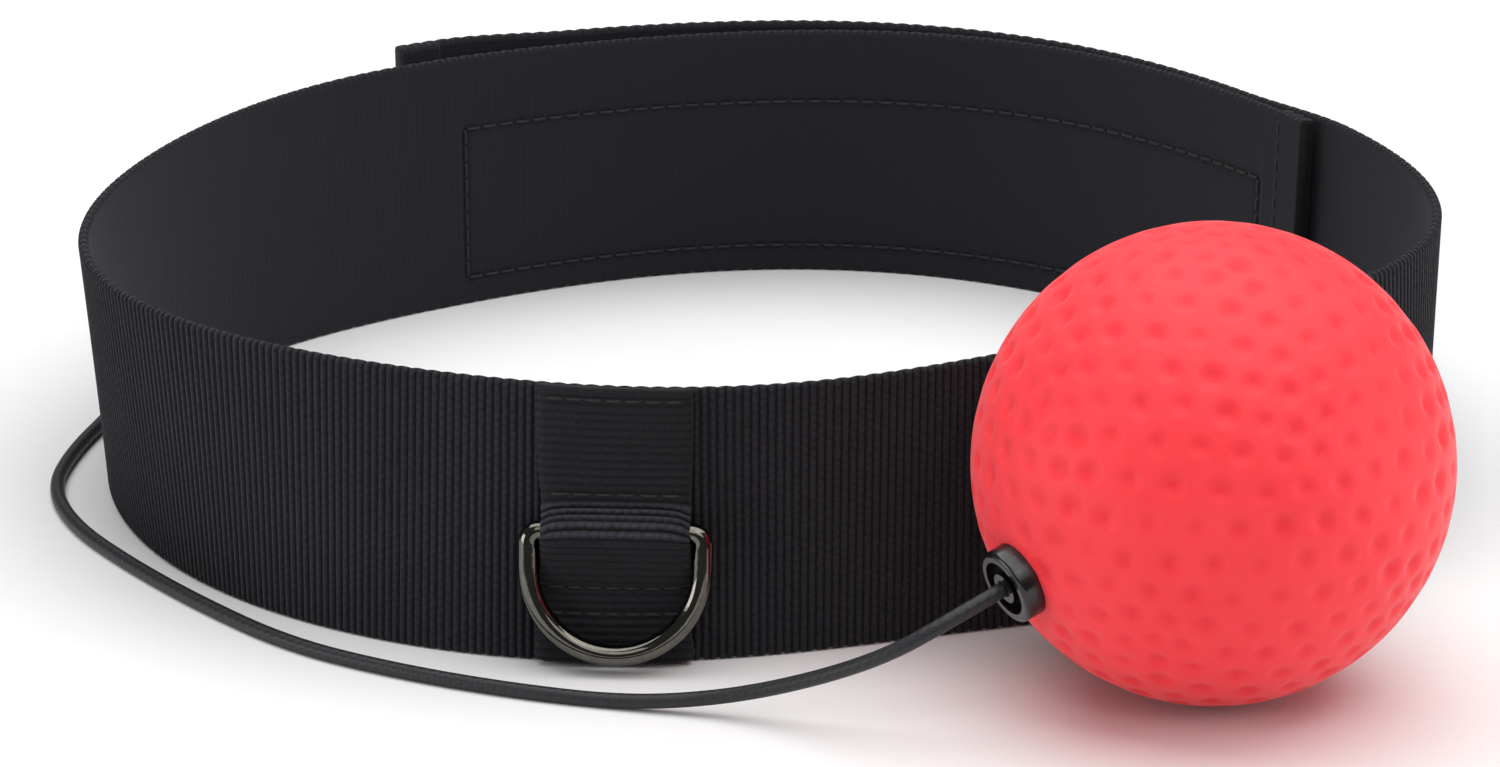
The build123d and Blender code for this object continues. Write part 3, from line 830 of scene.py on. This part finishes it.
def coil_route():
    """Control points of the coil: inwards on the surface, up, and outwards on the layer above."""
    total = COIL_TURNS + (COIL_LEAVE - COIL_START) / 360
    half = (total - COIL_CLIMB) / 2
    count = round(total * COIL_POINTS)
    route = []
    for index in range(count + 1):
        turns = total * index / count
        inward = min(turns, total - turns) / half
        radius = COIL_OUTER_TURN + (COIL_INNER_TURN - COIL_OUTER_TURN) * min(inward, 1.0)
        # The spline runs inside its control points.
        radius /= cos(pi / COIL_POINTS) ** 2
        layer = smooth_step((turns - half) / COIL_CLIMB)
        height = COIL_LOW + CORD_RADIUS + CORD_DIAMETER * layer
        route.append(COIL_MIDDLE + heading(COIL_START + 360 * turns) * radius + UP * height)
    return route


def cord_route():
    """Control points from the plug to the ferrule."""
    route = [cord_exit(), *CORD_ROUTE, *coil_route(), *TAIL_ROUTE]
    return [Vector(point) for point in route]


def elastic_cord(look):
    """The whole cord, from the plug's hub to the ferrule."""
    line = smooth_line(cord_route(), CORD_FINESSE, CORD_STEP)
    replaced = ("cord", "cord_coil", "cord_tail")
    shape = tube(line, CORD_RADIUS, CORD_SIDES, UP)
    piece = shape.piece("elastic_cord", "cord_set", "cord_sheath", look, replaced)
    on_it = [coil_tie(), cord_ferrule(), end_loop(look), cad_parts["hook_eye"]]
    return piece


def add_ribbon(shape, points, acrosses, width):
    """Flat tie along a line of points, with a ridge over its wire."""
    half = TIE_THICKNESS / 2
    ridge = TIE_RIDGE_REACH
    outline = (
        (-0.5, -half), (-0.5, half), (-ridge, half), (0.0, half + TIE_RIDGE), (ridge, half), (0.5, half),
        (0.5, -half), (0.0, -half),
    )
    loops = []
    for index, point in enumerate(points):
        along = points[min(index + 1, len(points) - 1)] - points[max(index - 1, 0)]
        facing = acrosses[index].cross(along).normalized()
        loops.append([point + acrosses[index] * width * side + facing * rise for side, rise in outline])
    across = [TIE_THICKNESS * index for index in range(len(outline) + 1)]
    shape.add_skin(loops, running_lengths(points), across)


def coil_tie():
    """Flat tie round the turns, with its two ends twisted together and folded over onto them."""
    outward = heading(TIE_ANGLE)
    across = UP.cross(outward)
    near = COIL_INNER_TURN - CORD_RADIUS
    far = COIL_OUTER_TURN + CORD_RADIUS
    low = COIL_LOW + CORD_RADIUS
    high = COIL_LOW + 2 * CORD_DIAMETER - CORD_RADIUS
    reach = CORD_RADIUS + TIE_THICKNESS / 2
    corners = ((far - CORD_RADIUS, high, 0), (near + CORD_RADIUS, high, 90))
    corners += ((near + CORD_RADIUS, low, 180), (far - CORD_RADIUS, low, 270))
    points = []
    for out, height, start in corners:
        for turn in range(start, start + 91, 15):
            rise = height + reach * sin(radians(turn))
            points.append(COIL_MIDDLE + outward * (out + reach * cos(radians(turn))) + UP * rise)
    shape = Shape()
    add_ribbon(shape, points + points[:1], [across] * (len(points) + 1), TIE_WIDTH)
    for side in (0, pi):
        line = []
        acrosses = []
        for index in range(TWIST_POINTS + 1):
            share = index / TWIST_POINTS
            radial = heading(TIE_ANGLE + TWIST_SWEEP * share)
            turn = 2 * pi * TWIST_TURNS * share + side
            aside = radial * cos(turn) + UP * sin(turn)
            rise = high + reach + TWIST_WIDTH / 2 + TIE_THICKNESS
            middle = COIL_MIDDLE + radial * (near + far) / 2 + UP * rise
            line.append(middle + aside * TWIST_OFFSET)
            acrosses.append(UP * cos(turn) - radial * sin(turn))
        add_ribbon(shape, line, acrosses, TWIST_WIDTH)
    return shape.piece("coil_twist_tie", "cord_set", "tie", tie_look(), ("coil_tie",))


def cord_ferrule():
    """Crimped tube, with two dents that grip the cord and an open rim at each end."""
    low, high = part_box("cord_ferrule")
    radius = (high.z - low.z) / 2
    length = high.x - low.x
    rim = [(LOOP_TUCK, FERRULE_MOUTH), (0.0, FERRULE_MOUTH)]
    rim += [(0.0, radius - FERRULE_RIM), (FERRULE_RIM, radius)]
    profile = rim + [(length * row / FERRULE_ROWS, radius) for row in range(2, FERRULE_ROWS - 1)]
    profile += [(length - along, size) for along, size in reversed(rim)]
    loops = []
    for along, size in profile:
        share = along / length
        squeeze = sum(smooth_step(1 - abs(share - place) / CRIMP_REACH) for place in CRIMP_PLACES)
        middle = (low + high) / 2 + Vector((along - length / 2, 0, 0))
        loop = []
        for side in range(FERRULE_SIDES):
            turn = 2 * pi * side / FERRULE_SIDES
            reach = size * (1 - CRIMP_DEPTH * squeeze * cos(turn) ** 2)
            loop.append(middle + Vector((0, reach * sin(turn), reach * cos(turn))))
        loops.append(loop)
    around = [2 * pi * radius * side / FERRULE_SIDES for side in range(FERRULE_SIDES + 1)]
    shape = Shape()
    shape.add_skin(loops, [along for along, size in profile], around)
    look = steel_look("ferrule_steel", (0.35, 0.34, 0.33), 0.35)
    return shape.piece("crimped_ferrule", "cord_set", "ferrule_metal", look, ("cord_ferrule",))


def end_loop(look):
    """The cord's end, from the ferrule round the eye's wire and back."""
    low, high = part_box("cord_end_loop")
    middle = (low + high) / 2
    reach = (high.z - low.z) / 2 - LOOP_CORD_RADIUS
    centre = high.x - LOOP_CORD_RADIUS - reach
    points = [Vector((low.x - LOOP_TUCK, middle.y, middle.z + reach))]
    for turn in range(90, -91, -10):
        rise = reach * sin(radians(turn))
        points.append(Vector((centre + reach * cos(radians(turn)), middle.y, middle.z + rise)))
    points.append(Vector((low.x - LOOP_TUCK, middle.y, middle.z - reach)))
    shape = tube(points, LOOP_CORD_RADIUS, CORD_SIDES, Vector((0, 1, 0)))
    return shape.piece("end_loop_cord", "cord_set", "cord_sheath", look, ("cord_end_loop",))


def gate_spring(look):
    """Torsion spring round the gate's pin, with a short leg at each end."""
    low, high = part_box("gate_spring")
    middle = (low + high) / 2
    radius = (high.x - low.x) / 2 - SPRING_WIRE_RADIUS
    rise = (high.z - low.z) / 2 - SPRING_WIRE_RADIUS
    count = SPRING_POINTS * SPRING_TURNS
    points = []
    for index in range(count + 1):
        turn = 2 * pi * SPRING_TURNS * index / count
        place = Vector((radius * cos(turn), radius * sin(turn), rise * (2 * index / count - 1)))
        points.append(middle + place)
    points.insert(0, points[0] + (points[0] - points[1]).normalized() * SPRING_LEG)
    points.append(points[-1] + (points[-1] - points[-2]).normalized() * SPRING_LEG)
    shape = tube(points, SPRING_WIRE_RADIUS, SPRING_SIDES, UP)
    return shape.piece("gate_torsion_spring", "hook", "spring_steel", look, ("gate_spring",))


# ======== Webbing pieces ========

def rib_height(distance):
    """Height of the ribs at a distance along the webbing, from 0 between ribs to 1."""
    return abs(sin(pi * distance / RIB_PITCH)) ** RIB_FULLNESS


def seam_dip(angle, height):
    """How far the thread pulls the inside face in, near the loop tape's seam."""
    low = TAPE_LOW + SEAM_INSET
    high = TAPE_HIGH - SEAM_INSET
    reach = radians(1) * RING_RADII[0]
    beside = min(angle - LOOP_TAPE_START, LOOP_TAPE_END - angle) * reach - SEAM_INSET
    within = min(height - low, high - height)
    nearest = abs(min(beside, within))
    return SEAM_DIP * max(1 - nearest / SEAM_DIP_WIDTH, 0.0)


def strap_rows():
    """Heights at which the webbing's faces have points, closer together at the seams and the free edges."""
    seams = (TAPE_LOW + SEAM_INSET, TAPE_HIGH - SEAM_INSET)
    rows = [EDGE_ROUND, STRAP_WIDTH - EDGE_ROUND]
    for seam in seams:
        rows.extend((seam - SEAM_DIP_WIDTH, seam, seam + SEAM_DIP_WIDTH))
    for share in EDGE_ROW_SHARES:
        rows.extend((TAPE_LOW * share, STRAP_WIDTH - TAPE_LOW * share))
    rows.extend(STRAP_WIDTH * share / 8 for share in range(3, 6))
    return sorted(rows)


def strap_loop(angle, distance):
    """Closed section of the webbing: up the outside, over the top edge, and down the inside."""
    column = strap_column(angle)
    rib = rib_height(distance)
    scallop = SCALLOP * abs(sin(pi * distance / RIB_PITCH / 2))
    outer_hem = HEM_THICKNESS * smooth_step((angle - OUTER_END + HEM_SPAN) * 2)
    inner_hem = HEM_THICKNESS * smooth_step((INNER_END + HEM_SPAN - angle) * 2)
    outside = FACE + RIB_DEPTH * (rib - 1) + inner_hem
    inside = -FACE - INSIDE_RIB_DEPTH * (rib - 1) - outer_hem
    rows = strap_rows()
    ease = EDGE_ROUND * EDGE_EASE
    loop = [(outside, height) for height in rows]
    loop.append((outside - ease, STRAP_WIDTH - ease - SCALLOP + scallop))
    loop.append((0.0, STRAP_WIDTH - SCALLOP + scallop))
    loop.append((inside + ease, STRAP_WIDTH - ease - SCALLOP + scallop))
    loop.extend((inside + seam_dip(angle, height), height) for height in reversed(rows))
    loop.append((inside + ease, ease + SCALLOP - scallop))
    loop.append((0.0, SCALLOP - scallop))
    loop.append((outside - ease, ease + SCALLOP - scallop))
    return [on_column(column, offset, height) for offset, height in loop]


def strap_across():
    """Each row's place across the weave, in the order of strap_loop, and below 0 on the inside face."""
    rows = strap_rows()
    across = rows + [STRAP_WIDTH] * 3
    across += [-height for height in reversed(rows)] + [0.0] * 3
    return across + rows[:1]


def strap(look):
    """The ribbed webbing, from its inner end once round and over itself to its outer end."""
    step = RIB_PITCH / RIB_SAMPLES
    angles = strap_angles(INNER_END, OUTER_END, step)
    along = [step * index for index in range(len(angles))]
    loops = [strap_loop(angle, distance) for angle, distance in zip(angles, along)]
    shape = Shape()
    shape.add_skin(loops, along, strap_across())
    return shape.piece("strap_webbing", "headband", "webbing", look, ("strap",))


def tape(name, node, start, end, inside, outside, look):
    """Napped tape that follows the strap between two offsets."""
    angles = strap_angles(start, end, TAPE_STEP)
    rows = [TAPE_LOW + (TAPE_HIGH - TAPE_LOW) * row / TAPE_ROWS for row in range(TAPE_ROWS + 1)]
    loops = []
    for angle in angles:
        column = strap_column(angle)
        loop = []
        for height in rows:
            place = on_column(column, outside, height)
            nap = NAP_DEPTH * (noise.noise(place * NAP_SCALE) - 0.5)
            loop.append(on_column(column, outside + nap, height))
        for height in reversed(rows):
            loop.append(on_column(column, inside, height))
        loops.append(loop)
    across = rows + list(reversed(rows)) + rows[:1]
    shape = Shape()
    shape.add_skin(loops, [TAPE_STEP * index for index in range(len(angles))], across)
    return shape.piece(name, "headband", "hook_loop_tape", look, (node,))


def tapes():
    """Loop tape outside the first layer, and hook tape inside the second."""
    near = FACE + TAPE_GAP
    loop = nap_look("loop_nap", 2600.0, (0.030, 0.030, 0.034))
    hook = nap_look("hook_nap", 1700.0, (0.022, 0.022, 0.026))
    tape("loop_tape_pile", "loop_tape", LOOP_TAPE_START, LOOP_TAPE_END, near, near + TAPE_THICKNESS, loop)
    tape(
        "hook_tape_pile", "hook_tape", HOOK_TAPE_START + 360, LOOP_TAPE_END + 360,
        -near, -near - TAPE_THICKNESS, hook,
    )


# ======== Seams ========

def add_stitch(shape, start, end, out):
    """One stitch: thread that comes up, lies on the cloth and goes down again."""
    points = []
    for index in range(STITCH_POINTS):
        share = index / (STITCH_POINTS - 1)
        rise = THREAD_RADIUS * (STITCH_RISE * (1 - (2 * share - 1) ** 4) - 1.0)
        points.append(start.lerp(end, share) + out * rise)
    add_tube(shape, points, THREAD_RADIUS, STITCH_SIDES, out)


def add_seam(shape, line, outs):
    """Stitches along a line of points, each with its direction out of the cloth."""
    lengths = running_lengths(line)
    count = max(round(lengths[-1] / STITCH_PITCH), 1)
    pitch = lengths[-1] / count
    half = pitch * STITCH_LENGTH / STITCH_PITCH / 2
    for index in range(count):
        middle = pitch * (index + 0.5)
        ends = [along_line(line, lengths, middle + side) for side in (-half, half)]
        nearest = min(range(len(lengths)), key=lambda place: abs(lengths[place] - middle))
        add_stitch(shape, *ends, outs[nearest])


def along_line(line, lengths, distance):
    """Point at a distance along a line of points."""
    for index in range(1, len(line)):
        if lengths[index] >= distance or index == len(line) - 1:
            run = lengths[index] - lengths[index - 1]
            return line[index - 1].lerp(line[index], (distance - lengths[index - 1]) / run)


def strap_seam(shape, places, offset):
    """Stitches on one face of the strap, through places of an angle and a height."""
    side = 1 if offset > 0 else -1
    line = [strap_point(angle, offset, height) for angle, height in places]
    outs = [strap_column(angle)[0] * side for angle, height in places]
    add_seam(shape, line, outs)


def upright(angle, low, high):
    """Places up the strap at one angle."""
    return [(angle, low + (high - low) * share / 8) for share in range(9)]


def tape_seam(name, node, start, end, offset, look):
    """Rectangle of stitches that holds a tape."""
    inset = degrees(SEAM_INSET / RING_RADII[0])
    low = TAPE_LOW + SEAM_INSET
    high = TAPE_HIGH - SEAM_INSET
    shape = Shape()
    angles = strap_angles(start + inset, end - inset, SEAM_STEP)
    for height in (low, high):
        strap_seam(shape, [(angle, height) for angle in angles], offset)
    for angle in (start + inset, end - inset):
        strap_seam(shape, upright(angle, low, high), offset)
    return shape.piece(name, "headband", "thread", look, (node,))


def hem_seam(name, node, angle, offset, look):
    """Row of stitches up one end of the strap."""
    shape = Shape()
    strap_seam(shape, upright(angle, SEAM_INSET, STRAP_WIDTH - SEAM_INSET), offset)
    return shape.piece(name, "headband", "thread", look, (node,))


def seams(look):
    """All the stitches in the strap."""
    tape_seam("loop_tape_stitches", "loop_tape_stitching", LOOP_TAPE_START, LOOP_TAPE_END, -FACE, look)
    tape_seam(
        "hook_tape_stitches", "hook_tape_stitching", HOOK_TAPE_START + 360, LOOP_TAPE_END + 360, FACE, look,
    )
    inner = INNER_END + HEM_SPAN - HEM_SEAM_INSET
    outer = OUTER_END - HEM_SPAN + HEM_SEAM_INSET
    hem_seam("inner_hem_stitches", "inner_hem_stitching", inner, -FACE, look)
    hem_seam("outer_hem_stitches", "outer_hem_stitching", outer, FACE, look)


# ======== Tab and D-ring ========

def tab_axes():
    """Middle of the tab on the strap's outside face, the D-ring bar's direction, and out of the strap."""
    direction = heading(TAB_ANGLE)
    origin = direction * (round_curve(RING_RADII, TAB_ANGLE) + FACE)
    along = -heading(TAB_HEADING)
    return origin, along, UP.cross(along)


def bar_out():
    """Distance from the strap's outside face to the middle of the D-ring's bar."""
    return RING_WIRE / 2 + BAR_CLEARANCE


def tab_over():
    """Distance from the middle of the D-ring's bar to the middle of the webbing round it."""
    return bar_out() + TAB_THICKNESS / 2


def tab_line():
    """Middle line of the tab: down from the top edge, over the bar, to the foot, and up behind it."""
    upper = TAPE_GAP + TAB_THICKNESS / 2
    ply = TAB_FOLD_THICKNESS / 2
    front = TAPE_GAP + 1.5 * ply
    back = TAPE_GAP + ply / 2
    bend_top = BAR_HEIGHT + tab_over() + TAB_BEND_RUN
    points = []
    for share in range(7):
        points.append((upper, STRAP_WIDTH + (bend_top - STRAP_WIDTH) * share / 6))
    for turn in range(-75, 36, 10):
        out = bar_out() + tab_over() * cos(radians(turn))
        points.append((out, BAR_HEIGHT - tab_over() * sin(radians(turn))))
    points.append((front + ply / 2, TAB_FOLD_TOP))
    bend = TAB_FOOT + ply / 2
    for share in range(5):
        points.append((front, TAB_SEAM_HEIGHTS[1] + (bend - TAB_SEAM_HEIGHTS[1]) * share / 4))
    for share in range(5):
        points.append((back, bend + (TAB_FOLD_TOP - bend) * share / 4))
    return smooth_line([Vector((*point, 0)) for point in points], TAB_FINESSE, TAB_STEP)


def tab_place(axes, across, out, height):
    """Point of the tab: it hugs the strap, but is pulled straight where it goes round the bar."""
    origin, along, outward = axes
    angle = TAB_ANGLE - degrees(across / origin.length)
    hugging = strap_point(angle, FACE + out, height)
    flat = origin + along * across + outward * out + UP * height
    straight = 1 - smooth_step((abs(height - BAR_HEIGHT) - TAB_STRAIGHT) / TAB_STRAIGHT_EASE)
    return hugging.lerp(flat, straight)


def tab_width(height):
    """Width of the tab at a height: drawn in at the bar, and flared at the foot with round corners."""
    above = smooth_step((height - BAR_HEIGHT) / TAB_NECK_RUN)
    width = TAB_NECK_WIDTH + (TAB_WIDTH - TAB_NECK_WIDTH) * above
    width += 2 * TAB_FLARE * smooth_step(1.5 - height / TAB_FLARE_RUN)
    corner = min(max(TAB_FOOT + TAB_CORNER - height, 0.0), TAB_CORNER)
    return width - 2 * (TAB_CORNER - sqrt(TAB_CORNER ** 2 - corner ** 2))


def tab_ply(height):
    """Thickness of the tab's webbing, which is pressed thinner where it is sewn double."""
    folded = smooth_step((TAB_FOLD_TOP + TAB_FOLD_EASE / 2 - height) / TAB_FOLD_EASE)
    return TAB_THICKNESS + (TAB_FOLD_THICKNESS / 2 - TAB_THICKNESS) * folded


def tab_dip(height):
    """How far the tab's rows of stitches pull its face in at a height."""
    nearest = min(abs(height - seam) for seam in TAB_SEAM_HEIGHTS)
    return SEAM_DIP * max(1 - nearest / SEAM_DIP_WIDTH, 0.0)


def tab_section(axes, line, index):
    """Closed section across the tab at one point of its line."""
    before = line[max(index - 1, 0)]
    after = line[min(index + 1, len(line) - 1)]
    slope = (after - before).normalized()
    facing = Vector((-slope.y, slope.x, 0))
    out, height = line[index].xy
    half = tab_ply(height) / 2
    rib = rib_height(index * RIB_PITCH / RIB_SAMPLES)
    bulge = smooth_step(2 - abs(height - BULGE_MIDDLE) / BULGE_REACH)
    depth = TAB_RIB_DEPTH + (BULGE_RIB_DEPTH - TAB_RIB_DEPTH) * bulge
    face = half - depth * (1 - rib) - tab_dip(height)
    width = tab_width(height) - SCALLOP * (1 - rib)
    loop = []
    for side in (1, -1):
        for column in range(TAB_COLUMNS)[::side]:
            share = 2 * column / (TAB_COLUMNS - 1) - 1
            drop = TAB_DROOP * bulge * share ** 6
            edge = half * max(abs(share) - TAB_EDGE_START, 0) / TAB_EDGE_RUN
            rise = face - edge if side > 0 else -half
            loop.append((width / 2 * share, out + facing.x * rise, height + facing.y * rise - drop))
    return [tab_place(axes, *point) for point in loop]


def front_tab(look):
    """Webbing tab: flat above, round the D-ring's bar, and folded double below."""
    axes = tab_axes()
    line = tab_line()
    loops = [tab_section(axes, line, index) for index in range(len(line))]
    along = [TAB_STEP * index for index in range(len(line))]
    across = [TAB_WIDTH * column / (TAB_COLUMNS - 1) for column in range(TAB_COLUMNS)]
    shape = Shape()
    shape.add_skin(loops, along, across + across[::-1] + across[:1])
    return shape.piece("tab_webbing", "headband", "webbing", look, ("front_tab",))


def tab_face(line, height):
    """How far out the tab's front face is at a height."""
    level = [point for point in line if abs(point.y - height) < TAB_STEP]
    front = max(level, key=lambda point: point.x)
    return front.x + tab_ply(height) / 2 - SEAM_DIP


def tab_stitches(look):
    """Rows of stitches across the tab."""
    axes = tab_axes()
    middle = tab_line()
    shape = Shape()
    for height in TAB_SEAM_HEIGHTS:
        width = tab_width(height) - 2 * SEAM_INSET
        face = tab_face(middle, height)
        line = [tab_place(axes, width * (share / 12 - 0.5), face, height) for share in range(13)]
        add_seam(shape, line, [axes[2]] * len(line))
    return shape.piece("tab_stitches", "headband", "thread", look, ("tab_stitching",))


def ring_tilt():
    """Lean of the hanging D-ring, whose arc lies on the tab's fold where it comes in over it."""
    arc_out = TAPE_GAP + TAB_FOLD_THICKNESS + THREAD_PROUD + BAR_CLEARANCE + RING_WIRE / 2
    leg = RING_DROP - RING_HALF_WIDTH
    arc_drop = leg + sqrt(RING_HALF_WIDTH ** 2 - (TAB_FOOT_WIDTH / 2) ** 2)
    return atan2(arc_out - bar_out(), arc_drop)


def ring_line():
    """Closed middle line of the D-ring's wire, in its own plane."""
    half = RING_HALF_WIDTH
    corner = RING_CORNER
    leg_end = RING_DROP - half
    line = []
    for turn in range(90, -1, -10):
        line.append((half - corner + corner * cos(radians(turn)), -corner + corner * sin(radians(turn))))
    for turn in range(0, -181, -5):
        line.append((half * cos(radians(turn)), -leg_end + half * sin(radians(turn))))
    for turn in range(180, 89, -10):
        line.append((-half + corner + corner * cos(radians(turn)), -corner + corner * sin(radians(turn))))
    return line


def d_ring(look):
    """Welded ring of round wire, hanging from its bar against the tab."""
    origin, along, outward = tab_axes()
    tilt = ring_tilt()
    pivot = origin + outward * bar_out() + UP * BAR_HEIGHT
    down = outward * sin(tilt) - UP * cos(tilt)
    points = [pivot + along * x - down * y for x, y in ring_line()]
    dense = evenly_spaced(points + points[:1], RING_STEP)[:-1]
    shape = tube(dense, RING_WIRE / 2, RING_SIDES, outward, joined=True)
    return shape.piece("d_ring_wire", "d_ring", "ring_metal", look, ("d_ring",))


# ======== Ball ========

def dimple_directions():
    """Middles of the dimples: an icosahedron's faces, each split into a triangular grid."""
    grid = bmesh.new()
    bmesh.ops.create_icosphere(grid, subdivisions=1, radius=1.0)
    directions = {}
    for face in grid.faces:
        a, b, c = (vertex.co.copy() for vertex in face.verts)
        for i in range(DIMPLE_RINGS + 1):
            for j in range(DIMPLE_RINGS + 1 - i):
                point = (a * i + b * j + c * (DIMPLE_RINGS - i - j)).normalized()
                directions[tuple(round(value, 3) for value in point)] = point
    grid.free()
    return list(directions.values())


def ball(look):
    """Moulded foam ball with soft, uneven dimples, and a flat seat for the plug."""
    directions = dimple_directions()
    noise.seed_set(DIMPLE_SEED)
    tree = kdtree.KDTree(len(directions))
    for index, direction in enumerate(directions):
        shift = noise.noise_vector(direction * DIMPLE_SHIFT_SCALE) * DIMPLE_SHIFT
        tree.insert(direction * BALL_RADIUS + shift, index)
    tree.balance()
    out = plug_axes()[0]
    form = bmesh.new()
    bmesh.ops.create_icosphere(form, subdivisions=BALL_FINENESS, radius=BALL_RADIUS)
    dents = []
    for vertex in form.verts:
        place, index, distance = tree.find(vertex.co)
        uneven = 1 + DIMPLE_UNEVEN * noise.noise(place * DIMPLE_UNEVEN_SCALE)
        reach = DIMPLE_RADIUS * (1 + DIMPLE_SPREAD * (uneven - 1))
        dent = uneven * smooth_step(1 - distance / reach)
        dents.append(dent)
        vertex.co *= 1 - DIMPLE_DEPTH * dent / BALL_RADIUS
        beside = (vertex.co - out * vertex.co.dot(out)).length
        if beside < FLANGE_RADIUS and vertex.co.dot(out) > PLUG_SEAT:
            vertex.co += out * (PLUG_SEAT - vertex.co.dot(out))
        vertex.co += BALL_MIDDLE
    mesh = bpy.data.meshes.new("ball_skin")
    form.to_mesh(mesh)
    form.free()
    mesh.attributes.new("dent", "FLOAT", "POINT").data.foreach_set("value", dents)
    piece = finished(mesh, "ball_skin", "ball", look, ("ball",))
    return piece


# ======== Everything ========

def paint(names, material):
    """Gives carried-over CAD nodes their material."""
    for name in names:
        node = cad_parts[name]
        node.data.materials.clear()
        node.data.materials.append(material)


def build():
    """Camera and cord first, then the stage and the other pieces."""
    camera()
    elastic_cord(braid_look())
    lights()
    studio_floor()
    thread = thread_look()
    strap(strap_look())
    tapes()
    seams(thread)
    front_tab(tab_look())
    tab_stitches(thread)
    d_ring(black_nickel_look())
    ball(ball_look())
    paint(("ball_plug",), plug_look())
    paint(("cord_knot",), nap_look("knotted_cord", 3200.0, (0.016, 0.016, 0.020)))
    paint(("hook_body", "hook_gate", "hook_eye"), cast_metal_look())
    spring_steel = steel_look("spring_steel", (0.5, 0.5, 0.5), 0.3)
    gate_spring(spring_steel)
    paint(("gate_pin",), spring_steel)
    bpy.context.scene.view_settings.view_transform = "Standard"


build()
